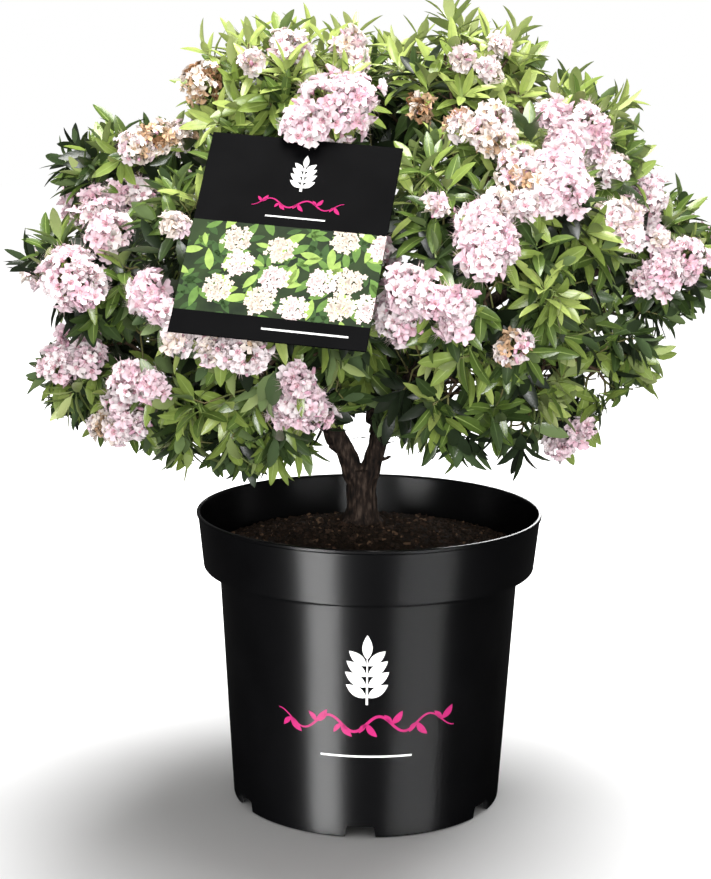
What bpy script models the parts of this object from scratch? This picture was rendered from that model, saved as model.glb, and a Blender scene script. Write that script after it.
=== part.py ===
"""Potted dwarf rhododendron: black nursery pot, compost, trunk, boughs, foliage masses and a hanging label.

The object stands on the foot of its pot, on the plane z = 0, with the pot's axis on the Z axis. The label
faces the front, -Y. Every length is in metres.
"""

import math

import bmesh
import bpy
from mathutils import Euler, Matrix, Vector, noise

# Gap between pieces that touch on the real plant
GAP = 0.0003

# Pot: a thin moulded shell with a deep collar, a tuck under it, a tapering body and a foot with notches
POT_HEIGHT = 0.196
RIM_RADIUS = 0.1152
RIM_BEAD_HEIGHT = 0.0026
RIM_BEAD_STEP = 0.0007
COLLAR_FOOT_RADIUS = 0.1106
COLLAR_FOOT_Z = 0.1592
TUCK_FOOT_Z = 0.1478
BODY_TOP_RADIUS = 0.0994
BODY_FOOT_RADIUS = 0.0905
WALL = 0.0016
FOOT_WALL = 0.0030
BASE_UNDERSIDE_Z = 0.0090
BASE_THICKNESS = 0.0025
POT_STEPS = 48

# Notches in the foot, and the drain holes in the base plate
NOTCH_COUNT = 6
NOTCH_WIDTH = 0.0215
NOTCH_TOP_WIDTH = 0.0175
NOTCH_HEIGHT = 0.0078
NOTCH_DEPTH = 0.012
NOTCH_BELOW = 0.004
FIRST_NOTCH_DEG = -92.0
DRAIN_RADIUS = 0.005
DRAIN_RING_RADIUS = 0.072
DRAIN_SIDES = 16
CUTTER_HEIGHT = 0.010

# Compost: it fills the pot to the collar and rises to the foot of the trunk
COMPOST_EDGE_Z = 0.1665
COMPOST_TOP_Z = 0.1850
COMPOST_FLAT_RADIUS = 0.028

# Trunk: height above the compost against radius, from the root flare to the widening under the fork
TRUNK_X = -0.0050
TRUNK_Y = 0.0080
TRUNK_LENGTH = 0.0372
TRUNK_LEAN = Vector((-0.0008, -0.0010, 0.0))
TRUNK_RADIUS = 0.0096
FLARE_EXTRA = 0.0042
FLARE_HEIGHT = 0.0060
FORK_EXTRA = 0.0030
FORK_HEIGHT = 0.0090
TRUNK_STEPS = 10

# Boughs: every one ends at the flat underside of the inner mass
CROWN_UNDERSIDE_Z = 0.2520
LIMB_STEPS = 8
END_RUN = 0.0020
LIMB_SIDES_RESOLUTION = 3

# Foliage masses: the surface of each is an ellipsoid made uneven, and pressed flat against its neighbours
UNEVENNESS = 0.13
UNEVEN_DETAIL = 1.9
FINE_UNEVENNESS = 0.05
FINE_DETAIL = 4.3
MASS_SUBDIVISIONS = 3

# Label: a stiff printed card on a hook that hangs over a twig
CARD_WIDTH = 0.1100
CARD_HEIGHT = 0.1308
CARD_THICKNESS = 0.0010
CARD_CENTRE = Vector((-0.0470, -0.1900, 0.3922))
CARD_TILT_DEG = (-35.6, 8.5, -5.0)
HOOK_WIDTH = 0.0080
HOOK_THICKNESS = 0.0014
HOOK_RADIUS = 0.0085
HOOK_RISE = 0.0060
HOOK_ARC_STEPS = 10

# Colour, roughness and metallic value of each material
FINISHES = {
    "pot_plastic": ((0.012, 0.012, 0.014), 0.32, 0.0),
    "compost": ((0.030, 0.018, 0.011), 0.95, 0.0),
    "bark": ((0.045, 0.030, 0.022), 0.85, 0.0),
    "leaves_light": ((0.130, 0.260, 0.040), 0.45, 0.0),
    "leaves_mid": ((0.075, 0.170, 0.030), 0.45, 0.0),
    "leaves_dark": ((0.035, 0.085, 0.025), 0.45, 0.0),
    "card": ((0.015, 0.015, 0.016), 0.30, 0.0),
    "hook_plastic": ((0.020, 0.020, 0.020), 0.35, 0.0),
}

# Each mass: centre, half width, half depth and half height, and the material that it shows
MASSES = {
    "mass_heart": ((-0.002, 0.005, 0.345), (0.100, 0.095, 0.108), "leaves_dark"),
    "mass_top_left": ((-0.051, 0.002, 0.437), (0.084, 0.088, 0.081), "leaves_light"),
    "mass_top_right": ((0.050, 0.006, 0.450), (0.072, 0.086, 0.078), "leaves_light"),
    "mass_upper_left": ((-0.145, 0.012, 0.409), (0.061, 0.080, 0.053), "leaves_light"),
    "mass_upper_right": ((0.118, 0.002, 0.417), (0.062, 0.084, 0.068), "leaves_light"),
    "mass_left": ((-0.153, -0.034, 0.357), (0.083, 0.080, 0.043), "leaves_mid"),
    "mass_right": ((0.156, 0.036, 0.364), (0.078, 0.084, 0.056), "leaves_mid"),
    "mass_left_low": ((-0.137, 0.004, 0.294), (0.086, 0.090, 0.057), "leaves_mid"),
    "mass_right_low": ((0.111, -0.006, 0.305), (0.076, 0.090, 0.067), "leaves_mid"),
    "mass_low_left": ((-0.074, -0.078, 0.298), (0.072, 0.082, 0.059), "leaves_mid"),
    "mass_low_right": ((0.062, -0.078, 0.301), (0.072, 0.082, 0.059), "leaves_mid"),
    "mass_front_left": ((-0.056, -0.118, 0.374), (0.084, 0.095, 0.090), "leaves_mid"),
    "mass_front_right": ((0.066, -0.122, 0.378), (0.084, 0.090, 0.084), "leaves_mid"),
    "mass_back_top": ((0.004, 0.108, 0.432), (0.088, 0.092, 0.076), "leaves_light"),
    "mass_back_left": ((-0.098, 0.131, 0.360), (0.094, 0.098, 0.088), "leaves_mid"),
    "mass_back_right": ((0.094, 0.134, 0.362), (0.094, 0.098, 0.090), "leaves_mid"),
    "mass_back_low": ((0.000, 0.114, 0.293), (0.090, 0.096, 0.062), "leaves_mid"),
}

INNER_MASS = "mass_heart"
MASS_UNDER_HOOK = "mass_front_left"
MASSES_BEHIND_CARD = ("mass_front_left", "mass_front_right")


def clear_scene():
    """Remove every object of the open file."""
    for old in list(bpy.data.objects):
        bpy.data.objects.remove(old, do_unlink=True)


def make_collection(name):
    """A collection linked to the scene."""
    collection = bpy.data.collections.new(name)
    bpy.context.scene.collection.children.link(collection)
    return collection


def make_materials():
    """One Principled material for each entry of FINISHES."""
    materials = {}
    for name, (colour, roughness, metallic) in FINISHES.items():
        material = bpy.data.materials.new(name)
        material.use_nodes = True
        shader = material.node_tree.nodes["Principled BSDF"]
        shader.inputs["Base Color"].default_value = (*colour, 1.0)
        shader.inputs["Roughness"].default_value = roughness
        shader.inputs["Metallic"].default_value = metallic
        material.diffuse_color = (*colour, 1.0)
        materials[name] = material
    return materials


def add_object(name, data, material, collection):
    """An object that holds the given mesh or curve."""
    piece = bpy.data.objects.new(name, data)
    if material is not None:
        data.materials.append(material)
    collection.objects.link(piece)
    return piece


def turned(name, profile, material, collection):
    """A solid of revolution about Z, from (radius, height) points that run down its outer side."""
    mesh = bpy.data.meshes.new(name)
    points = [(radius, 0.0, height) for radius, height in profile]
    edges = [(i, i + 1) for i in range(len(points) - 1)]
    mesh.from_pydata(points, edges, [])
    piece = add_object(name, mesh, material, collection)
    screw = piece.modifiers.new("turn", "SCREW")
    screw.axis = "Z"
    screw.angle = math.tau
    screw.steps = POT_STEPS
    screw.render_steps = POT_STEPS
    screw.use_merge_vertices = True
    screw.merge_threshold = 0.00001
    screw.use_smooth_shade = True
    return piece


def body_radius(height):
    """Outer radius of the pot's tapering body at a height."""
    share = height / TUCK_FOOT_Z
    return BODY_FOOT_RADIUS + share * (BODY_TOP_RADIUS - BODY_FOOT_RADIUS)


def collar_radius(height):
    """Outer radius of the collar at a height."""
    share = (height - COLLAR_FOOT_Z) / (POT_HEIGHT - COLLAR_FOOT_Z)
    top = RIM_RADIUS - RIM_BEAD_STEP
    return COLLAR_FOOT_RADIUS + share * (top - COLLAR_FOOT_RADIUS)


def pot_profile():
    """Closed wall of the pot: floor, inner side, rim, outer side, foot and underside."""
    floor_z = BASE_UNDERSIDE_Z + BASE_THICKNESS
    bead_z = POT_HEIGHT - RIM_BEAD_HEIGHT
    rim_inner = collar_radius(POT_HEIGHT) - WALL
    soften = 0.0016
    return [
        (0.0, floor_z),
        (body_radius(floor_z) - WALL, floor_z),
        (BODY_TOP_RADIUS - WALL, TUCK_FOOT_Z + WALL / 2),
        (COLLAR_FOOT_RADIUS - WALL, COLLAR_FOOT_Z + WALL / 2),
        (rim_inner, POT_HEIGHT - soften / 4),
        (rim_inner + soften / 4, POT_HEIGHT),
        (RIM_RADIUS - soften / 4, POT_HEIGHT),
        (RIM_RADIUS, POT_HEIGHT - soften / 4),
        (RIM_RADIUS, bead_z + soften / 3),
        (collar_radius(bead_z), bead_z),
        (collar_radius(COLLAR_FOOT_Z + soften), COLLAR_FOOT_Z + soften),
        (COLLAR_FOOT_RADIUS - soften / 2, COLLAR_FOOT_Z - soften / 2),
        (BODY_TOP_RADIUS, TUCK_FOOT_Z),
        (BODY_FOOT_RADIUS, 0.0),
        (BODY_FOOT_RADIUS - FOOT_WALL, 0.0),
        (BODY_FOOT_RADIUS - FOOT_WALL, BASE_UNDERSIDE_Z),
        (0.0, BASE_UNDERSIDE_Z),
    ]


def cut(piece, cutter):
    """Take one closed cutter out of a piece."""
    cutter.hide_render = True
    cutter.display_type = "WIRE"
    boolean = piece.modifiers.new(cutter.name, "BOOLEAN")
    boolean.operation = "DIFFERENCE"
    boolean.solver = "EXACT"
    boolean.object = cutter


def notch_cutter(name, collection):
    """A block for one notch, narrower at its top, with its underside below the foot."""
    mesh = bpy.data.meshes.new(name)
    shape = bmesh.new()
    bmesh.ops.create_cube(shape, size=1.0)
    for corner in shape.verts:
        on_top = corner.co.z > 0
        width = NOTCH_TOP_WIDTH if on_top else NOTCH_WIDTH
        corner.co.x *= NOTCH_DEPTH
        corner.co.y *= width
        corner.co.z = NOTCH_HEIGHT if on_top else -NOTCH_BELOW
    shape.to_mesh(mesh)
    shape.free()
    return add_object(name, mesh, None, collection)


def drain_cutter(name, collection):
    """A cylinder for one drain hole."""
    mesh = bpy.data.meshes.new(name)
    shape = bmesh.new()
    bmesh.ops.create_cone(
        shape,
        cap_ends=True,
        segments=DRAIN_SIDES,
        radius1=DRAIN_RADIUS,
        radius2=DRAIN_RADIUS,
        depth=CUTTER_HEIGHT,
    )
    shape.to_mesh(mesh)
    shape.free()
    return add_object(name, mesh, None, collection)


def make_pot(materials, parts, cutters):
    """The pot, with a ring of notches in its foot and a drain hole in the base beside each."""
    pot = turned("pot", pot_profile(), materials["pot_plastic"], parts)
    for i in range(NOTCH_COUNT):
        angle = math.radians(FIRST_NOTCH_DEG) + i * math.tau / NOTCH_COUNT
        outwards = Vector((math.cos(angle), math.sin(angle), 0.0))
        notch = notch_cutter(f"notch_cutter_{i}", cutters)
        notch.location = outwards * (BODY_FOOT_RADIUS - FOOT_WALL / 2)
        notch.rotation_euler.z = angle
        cut(pot, notch)
        drain = drain_cutter(f"drain_cutter_{i}", cutters)
        drain.location = outwards * DRAIN_RING_RADIUS
        drain.location.z = BASE_UNDERSIDE_Z + BASE_THICKNESS / 2
        cut(pot, drain)
    return pot


def make_compost(materials, parts):
    """The compost as two fills that bulge outwards only: one in the pot's body and the mound in its collar."""
    floor_z = BASE_UNDERSIDE_Z + BASE_THICKNESS + GAP
    inset = WALL + GAP
    tuck_radius = BODY_TOP_RADIUS - inset - GAP
    body_fill = [
        (0.0, TUCK_FOOT_Z),
        (tuck_radius, TUCK_FOOT_Z),
        (body_radius(floor_z) - inset - GAP, floor_z),
        (0.0, floor_z),
    ]
    mound = [
        (0.0, COMPOST_TOP_Z),
        (COMPOST_FLAT_RADIUS, COMPOST_TOP_Z),
        (collar_radius(COMPOST_EDGE_Z) - inset, COMPOST_EDGE_Z),
        (COLLAR_FOOT_RADIUS - inset, COLLAR_FOOT_Z + WALL),
        (tuck_radius, TUCK_FOOT_Z + GAP),
        (0.0, TUCK_FOOT_Z + GAP),
    ]
    turned("compost", body_fill, materials["compost"], parts)
    turned("compost_top", mound, materials["compost"], parts)


def make_limb(name, path, radii, material, collection):
    """A round limb along a path, with a radius at each point and flat ends."""
    curve = bpy.data.curves.new(name, "CURVE")
    curve.dimensions = "3D"
    curve.bevel_depth = 1.0
    curve.bevel_resolution = LIMB_SIDES_RESOLUTION
    curve.use_fill_caps = True
    spline = curve.splines.new("POLY")
    spline.points.add(len(path) - 1)
    for point, place, radius in zip(spline.points, path, radii):
        point.co = (*place, 1.0)
        point.radius = radius
    spline.use_smooth = True
    return add_object(name, curve, material, collection)


def trunk_foot():
    """Middle of the flat cut where the trunk stands on the compost."""
    return Vector((TRUNK_X, TRUNK_Y, COMPOST_TOP_Z + GAP))


def trunk_top():
    """Middle of the flat where the boughs stand on the trunk."""
    return trunk_foot() + TRUNK_LEAN + Vector((0.0, 0.0, TRUNK_LENGTH))


def make_trunk(materials, parts):
    """The trunk: a root flare that dies away upwards, a clean stem and a widening under the fork."""
    path = []
    radii = []
    for i in range(TRUNK_STEPS + 1):
        share = (i / TRUNK_STEPS) ** 1.4 if i < TRUNK_STEPS / 2 else i / TRUNK_STEPS
        height = share * TRUNK_LENGTH
        lean = TRUNK_LEAN * (3 * share**2 - 2 * share**3)
        path.append(trunk_foot() + lean + Vector((0.0, 0.0, height)))
        flare = FLARE_EXTRA * math.exp(-height / FLARE_HEIGHT)
        fork = FORK_EXTRA * math.exp(-(TRUNK_LENGTH - height) / FORK_HEIGHT)
        radii.append(TRUNK_RADIUS + flare + fork)
    path[-1].xy = path[-2].xy
    return make_limb("trunk", path, radii, materials["bark"], parts)


def limb_path(start, middle, end):
    """A smooth bend by way of a middle point, which starts and ends upright so that its cuts lie level."""
    run = Vector((0.0, 0.0, END_RUN))
    first = start + run
    last = end - run
    path = [start]
    for i in range(LIMB_STEPS + 1):
        share = i / LIMB_STEPS
        path.append(first.lerp(middle, share).lerp(middle.lerp(last, share), share))
    path.append(end)
    return path


def taper(count, thick, thin):
    """Radii that fall evenly from thick to thin."""
    return [thick + (thin - thick) * i / (count - 1) for i in range(count)]


def make_boughs(materials, parts):
    """Three boughs that stand side by side on the trunk, and a small one on the left bough's side."""
    foot = trunk_top() + Vector((0.0, 0.0, GAP))
    top_z = CROWN_UNDERSIDE_Z - GAP
    # where each bough stands on the trunk, the bend in its middle, its tip, and its radius at foot and tip
    plans = {
        "bough_left": ((-0.0064, -0.0022), (-0.0142, 0.0035, 0.2380), (-0.0262, 0.0020), 0.0060, 0.0050),
        "bough_right": ((0.0064, -0.0022), (0.0042, 0.0030, 0.2380), (0.0085, 0.0010), 0.0056, 0.0047),
        "bough_back": ((0.0000, 0.0080), (-0.0030, 0.0200, 0.2380), (-0.0040, 0.0330), 0.0042, 0.0035),
    }
    boughs = {}
    for name, (stand, bend, tip, thick, thin) in plans.items():
        start = foot + Vector((*stand, 0.0))
        path = limb_path(start, Vector(bend), Vector((*tip, top_z)))
        radii = taper(len(path), thick, thin)
        boughs[name] = (path, radii)
        make_limb(name, path, radii, materials["bark"], parts)
    make_side_bough(*boughs["bough_left"], top_z, materials, parts)


def make_side_bough(carrier, carrier_radii, top_z, materials, parts):
    """A thinner bough that leaves the left bough to the left and bends up to the foliage."""
    thick = 0.0034
    thin = 0.0029
    run = 0.0105
    room_for_bend = 0.0004
    middle = len(carrier) // 2
    along = (carrier[middle + 1] - carrier[middle - 1]).normalized()
    leaving = Vector((-0.90, -0.12, 0.42)).normalized()
    lean = leaving.dot(along)
    outwards = (leaving - along * lean).normalized()
    # the nearer edge of the slanted foot just clears the carrier's side
    away = carrier_radii[middle] + GAP + room_for_bend + thick * lean
    start = carrier[middle] + outwards * away
    bend = start + leaving * run
    tip = Vector((bend.x, bend.y, top_z))
    last = tip - Vector((0.0, 0.0, END_RUN))
    path = []
    for i in range(LIMB_STEPS + 1):
        share = i / LIMB_STEPS
        path.append(start.lerp(bend, share).lerp(bend.lerp(last, share), share))
    path.append(tip)
    make_limb("bough_side", path, taper(len(path), thick, thin), materials["bark"], parts)


def card_frame():
    """Placement of the card: its X runs right, its Y into the foliage and its Z up the print."""
    tilt = Euler([math.radians(a) for a in CARD_TILT_DEG], "ZYX")
    return Matrix.Translation(CARD_CENTRE) @ tilt.to_matrix().to_4x4()


def hook_plane():
    """Point and direction of the flat end of the hook, which points into the foliage."""
    frame = card_frame()
    point = frame @ Vector((0.0, 2 * HOOK_RADIUS, CARD_HEIGHT / 2 + GAP))
    return point, frame.to_3x3() @ Vector((0.0, 0.0, -1.0))


def make_card(materials, parts):
    """The printed card, a thin plate."""
    mesh = bpy.data.meshes.new("label_card")
    shape = bmesh.new()
    bmesh.ops.create_cube(shape, size=1.0)
    bmesh.ops.scale(shape, vec=(CARD_WIDTH, CARD_THICKNESS, CARD_HEIGHT), verts=shape.verts)
    shape.to_mesh(mesh)
    shape.free()
    card = add_object("label_card", mesh, materials["card"], parts)
    card.matrix_world = card_frame()
    return card


def hook_centre_line():
    """Side view of the hook: up from the card's top edge, over in a half circle, and down."""
    foot_z = CARD_HEIGHT / 2 + GAP
    top_z = foot_z + HOOK_RISE
    line = [(0.0, foot_z)]
    for i in range(HOOK_ARC_STEPS + 1):
        angle = math.pi * (1 - i / HOOK_ARC_STEPS)
        line.append((HOOK_RADIUS + HOOK_RADIUS * math.cos(angle), top_z + HOOK_RADIUS * math.sin(angle)))
    line.append((2 * HOOK_RADIUS, foot_z))
    return [Vector(point) for point in line]


def make_hook(materials, parts):
    """The hook, a flat strip whose outline is the centre line moved to both sides."""
    line = hook_centre_line()
    outer = []
    inner = []
    for i, point in enumerate(line):
        before = line[max(i - 1, 0)]
        after = line[min(i + 1, len(line) - 1)]
        along = (after - before).normalized()
        side = Vector((-along.y, along.x)) * (HOOK_THICKNESS / 2)
        outer.append(point + side)
        inner.append(point - side)
    outline = outer + inner[::-1]
    curve = bpy.data.curves.new("label_hook", "CURVE")
    curve.dimensions = "2D"
    curve.fill_mode = "BOTH"
    curve.extrude = HOOK_WIDTH / 2
    spline = curve.splines.new("POLY")
    spline.points.add(len(outline) - 1)
    for point, place in zip(spline.points, outline):
        point.co = (place.x, place.y, 0.0, 1.0)
    spline.use_cyclic_u = True
    hook = add_object("label_hook", curve, materials["hook_plastic"], parts)
    # the outline's X is the card's Y, its Y is the card's Z, and its thickness is along the card's X
    turn = Matrix(((0.0, 0.0, 1.0, 0.0), (1.0, 0.0, 0.0, 0.0), (0.0, 1.0, 0.0, 0.0), (0.0, 0.0, 0.0, 1.0)))
    hook.matrix_world = card_frame() @ turn
    return hook


def ellipsoid_reach(direction, halves):
    """Distance from the centre of an ellipsoid to its surface in a direction."""
    return 1.0 / math.sqrt(sum((direction[i] / halves[i]) ** 2 for i in range(3)))


def uneven_reach(direction, halves, seed):
    """The ellipsoid's reach, swollen and drawn in like a mass of shoots."""
    offset = Vector((seed * 7.3, seed * 3.1, seed * 5.7))
    lumps = UNEVENNESS * noise.noise(direction * UNEVEN_DETAIL + offset)
    tufts = FINE_UNEVENNESS * noise.noise(direction * FINE_DETAIL + offset)
    return ellipsoid_reach(direction, halves) * (1.0 + lumps + tufts)


def pressing_planes(name):
    """Planes that a mass may not cross, each as an outward normal and its distance from the centre."""
    centre = Vector(MASSES[name][0])
    halves = MASSES[name][1]
    planes = []
    for other, (other_centre, other_halves, _) in MASSES.items():
        if other == name:
            continue
        between = Vector(other_centre) - centre
        normal = between.normalized()
        reach = ellipsoid_reach(normal, halves)
        other_reach = ellipsoid_reach(-normal, other_halves)
        if (reach + other_reach) * (1 + UNEVENNESS) > between.length:
            share = reach / (reach + other_reach)
            planes.append((normal, between.length * share - GAP / 2))
    if name == INNER_MASS:
        planes.append((Vector((0.0, 0.0, -1.0)), centre.z - CROWN_UNDERSIDE_Z))
    if name in MASSES_BEHIND_CARD:
        frame = card_frame()
        normal = frame.to_3x3() @ Vector((0.0, -1.0, 0.0))
        back = frame @ Vector((0.0, CARD_THICKNESS / 2 + GAP, 0.0))
        planes.append((normal, (back - centre).dot(normal)))
    if name == MASS_UNDER_HOOK:
        point, inwards = hook_plane()
        planes.append((-inwards, (point + inwards * GAP - centre).dot(-inwards)))
    return planes


def make_mass(name, seed, materials, parts):
    """One closed mass of foliage, shaped from an icosphere about its own centre."""
    centre, halves, finish = MASSES[name]
    planes = pressing_planes(name)
    mesh = bpy.data.meshes.new(name)
    shape = bmesh.new()
    bmesh.ops.create_icosphere(shape, subdivisions=MASS_SUBDIVISIONS, radius=1.0)
    for corner in shape.verts:
        direction = corner.co.normalized()
        reach = uneven_reach(direction, halves, seed)
        for normal, distance in planes:
            towards = direction.dot(normal)
            if towards > 0.0:
                reach = min(reach, distance / towards)
        corner.co = direction * reach
    shape.to_mesh(mesh)
    shape.free()
    mass = add_object(name, mesh, materials[finish], parts)
    mass.location = centre
    return mass


def build():
    """Make the whole plant in its pot."""
    clear_scene()
    parts = make_collection("potted_rhododendron")
    cutters = make_collection("cutters")
    materials = make_materials()
    make_pot(materials, parts, cutters)
    make_compost(materials, parts)
    make_trunk(materials, parts)
    make_boughs(materials, parts)
    for seed, name in enumerate(MASSES, start=1):
        make_mass(name, seed, materials, parts)
    make_card(materials, parts)
    make_hook(materials, parts)


build()
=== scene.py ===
# %% [markdown]
# # A dwarf rhododendron in its nursery pot
#
# A young evergreen shrub: a short trunk forks above the compost and carries a wide, rounded crown of leathery
# leaves and pink flower heads. It stands in a black moulded pot, and a card hangs in the crown. Each simple
# solid of the frame is replaced by the thing that it stands for, but for the hook, which only gets its finish.
# Nothing in the frame is moved.

# %% Load the frame
import math

import bpy
import numpy as np
from mathutils import Euler, Matrix, Vector, noise
from mathutils.bvhtree import BVHTree


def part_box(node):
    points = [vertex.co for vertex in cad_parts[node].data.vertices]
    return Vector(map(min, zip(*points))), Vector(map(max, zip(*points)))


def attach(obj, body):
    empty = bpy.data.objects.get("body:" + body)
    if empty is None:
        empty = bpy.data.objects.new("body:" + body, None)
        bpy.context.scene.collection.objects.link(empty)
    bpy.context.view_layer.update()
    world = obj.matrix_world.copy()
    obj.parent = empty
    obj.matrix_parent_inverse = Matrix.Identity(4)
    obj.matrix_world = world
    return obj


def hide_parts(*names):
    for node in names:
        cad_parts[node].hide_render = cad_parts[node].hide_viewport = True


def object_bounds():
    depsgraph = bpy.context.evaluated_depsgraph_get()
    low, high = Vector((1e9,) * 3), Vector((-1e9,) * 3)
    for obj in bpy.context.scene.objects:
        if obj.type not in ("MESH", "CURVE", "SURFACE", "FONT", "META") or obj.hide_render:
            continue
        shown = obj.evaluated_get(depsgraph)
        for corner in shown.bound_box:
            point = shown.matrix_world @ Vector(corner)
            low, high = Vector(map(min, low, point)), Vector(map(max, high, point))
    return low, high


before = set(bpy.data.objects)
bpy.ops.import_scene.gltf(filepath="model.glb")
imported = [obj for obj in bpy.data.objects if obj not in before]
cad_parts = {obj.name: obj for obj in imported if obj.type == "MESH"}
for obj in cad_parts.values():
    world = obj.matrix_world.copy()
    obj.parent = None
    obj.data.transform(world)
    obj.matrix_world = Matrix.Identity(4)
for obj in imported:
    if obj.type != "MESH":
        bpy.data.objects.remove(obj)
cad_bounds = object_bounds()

SEED = 5270
MM = 0.001
UP = np.array((0.0, 0.0, 1.0))


def dice(step):
    """Random numbers of its own for each step, so that a change in one step leaves the others alone."""
    return np.random.default_rng(SEED + step)


print("frame:", [tuple(round(v, 4) for v in corner) for corner in cad_bounds])

# %% [markdown]
# ## Helpers for modelling by hand
#
# Operators work on whatever is selected, so every step begins with nothing selected. A finished piece has its
# place in its mesh and its object at the origin. It rides on the plant's one body.

# %% Select, edit and finish


def deselect():
    """Nothing selected, in object mode."""
    if bpy.context.object is not None and bpy.context.object.mode != "OBJECT":
        bpy.ops.object.mode_set(mode="OBJECT")
    bpy.ops.object.select_all(action="DESELECT")


def activate(piece):
    """Only this piece selected, and active."""
    deselect()
    piece.select_set(True)
    bpy.context.view_layer.objects.active = piece


def added(primitive, **values):
    """A new primitive, added with nothing else selected."""
    deselect()
    primitive(**values)
    return bpy.context.object


def edit(piece, *steps):
    """Run operators in edit mode, each on the whole piece."""
    activate(piece)
    bpy.ops.object.mode_set(mode="EDIT")
    for operator, values in steps:
        bpy.ops.mesh.select_all(action="SELECT")
        operator(**values)
    bpy.ops.object.mode_set(mode="OBJECT")


def modified(piece, kind, **values):
    """Give a piece one modifier with its values, and apply it."""
    modifier = piece.modifiers.new(kind.lower(), kind)
    for name, value in values.items():
        setattr(modifier, name, value)
    activate(piece)
    bpy.ops.object.modifier_apply(modifier=modifier.name)


def settle(piece):
    """Move a piece's place, turn and size into its mesh."""
    activate(piece)
    bpy.ops.object.transform_apply(location=True, rotation=True, scale=True)


def recalculate(piece):
    """Merge doubles and turn all faces outwards."""
    edit(piece, (bpy.ops.mesh.remove_doubles, {"threshold": 0.00001}),
         (bpy.ops.mesh.normals_make_consistent, {"inside": False}))


def triangles_of(mesh):
    """How many triangles a mesh has."""
    return sum(len(face.vertices) - 2 for face in mesh.polygons)


def finish_piece(piece, slot, *nodes):
    """Settle a piece, let it ride on the plant, and hide the nodes that it stands for; the slot for its finish
    is not used.
    """
    settle(piece)
    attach(piece, "root")
    if nodes:
        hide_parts(*nodes)
    print(f"{piece.name}: {triangles_of(piece.data)} triangles")


# %% [markdown]
# ## Helpers for many small things
#
# Leaves, petals and crumbs are each modelled once with the operators. The shape is read as a small array and
# placed many times, and all its copies become one joined mesh.

# %% Read a model and place its copies


def as_arrays(model):
    """Points and triangles of a modelled shape, which is then removed."""
    mesh = model.data
    mesh.calc_loop_triangles()
    points = np.array([corner.co for corner in mesh.vertices])
    faces = np.array([loop.vertices for loop in mesh.loop_triangles])
    bpy.data.objects.remove(model, do_unlink=True)
    return points, faces


def linked(name, mesh, material):
    """A new object of a mesh, with its material, in the scene."""
    mesh.materials.append(material)
    piece = bpy.data.objects.new(name, mesh)
    bpy.context.scene.collection.objects.link(piece)
    return piece


def joined(name, blocks, material, smooth=True):
    """One mesh object from blocks of (points, triangles); each block's triangles count from its own points."""
    offsets = np.cumsum([0] + [len(points) for points, _ in blocks[:-1]])
    points = np.concatenate([points for points, _ in blocks])
    faces = np.concatenate([faces + offset for (_, faces), offset in zip(blocks, offsets)])
    mesh = bpy.data.meshes.new(name)
    mesh.from_pydata(points.tolist(), [], faces.tolist())
    mesh.polygons.foreach_set("use_smooth", np.full(len(mesh.polygons), smooth))
    return linked(name, mesh, material)


def repeated(shapes, faces):
    """A block from the points of many copies, (copies, points, 3), which all share one list of triangles."""
    copies, count, _ = shapes.shape
    starts = np.arange(copies)[:, None, None] * count
    return shapes.reshape(-1, 3), (faces[None] + starts).reshape(-1, 3)


def unit(vectors):
    """Vectors made one long."""
    vectors = np.asarray(vectors, float)
    return vectors / np.maximum(np.linalg.norm(vectors, axis=-1, keepdims=True), 1e-9)


def facing(along, upper):
    """Turning matrices whose Y runs along one direction and whose Z is as near as it can be to another."""
    y = unit(along)
    z = unit(upper - np.sum(upper * y, axis=-1, keepdims=True) * y)
    return np.stack([np.cross(y, z), y, z], axis=-1)


# %% [markdown]
# ## Camera
#
# The ellipses of the pot's rim, collar and foot in the photograph give the camera's height, its tilt and its
# distance. It looks slightly down on the plant from 1.25 m.

# %% Camera

CAMERA_PLACE = Vector((0.0, -1.25, 0.482))
CAMERA_DOWN = 0.1888
CAMERA_TURN = 0.0077
CAMERA_ROLL = 0.0107
FOCAL_PIXELS = 1912.7
PICTURE_WIDTH = 711
PICTURE_HEIGHT = 879
SENSOR = 36.0

camera_data = bpy.data.cameras.new("camera")
camera_data.sensor_width = SENSOR
camera_data.lens = FOCAL_PIXELS * SENSOR / PICTURE_HEIGHT
camera = bpy.data.objects.new("camera", camera_data)
camera.matrix_world = (
    Matrix.Translation(CAMERA_PLACE)
    @ Matrix.Rotation(CAMERA_TURN, 4, "Z")
    @ Matrix.Rotation(math.pi / 2 - CAMERA_DOWN, 4, "X")
    @ Matrix.Rotation(CAMERA_ROLL, 4, "Z")
)
bpy.context.scene.collection.objects.link(camera)
bpy.context.scene.camera = camera


def sight_line(x, y):
    """Direction in which the camera sees a pixel of the photograph."""
    across = (x - PICTURE_WIDTH / 2) / FOCAL_PIXELS
    down = (y - PICTURE_HEIGHT / 2) / FOCAL_PIXELS
    return (camera.matrix_world.to_3x3() @ Vector((across, -down, -1.0))).normalized()


print("lens:", round(camera_data.lens, 2), "mm")

# %% [markdown]
# ## Materials
#
# Each material is a Principled shader. Values that are the same all over are set on the shader's own sockets.
# Two effects are shared, a slow change between two colours and fine relief. Both are small node groups that
# put out only a colour or a normal.

# %% Nodes, and the shared node groups


def feed(node, inputs):
    """Give a node's inputs their values; an output of another node is linked."""
    for name, value in inputs.items():
        if isinstance(value, bpy.types.NodeSocket):
            node.id_data.links.new(value, node.inputs[name])
        else:
            node.inputs[name].default_value = value


def add_node(tree, kind, inputs=None, **settings):
    """A new node with its settings and its inputs."""
    node = tree.nodes.new("ShaderNode" + kind)
    for name, value in settings.items():
        setattr(node, name, value)
    feed(node, inputs or {})
    return node


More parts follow.
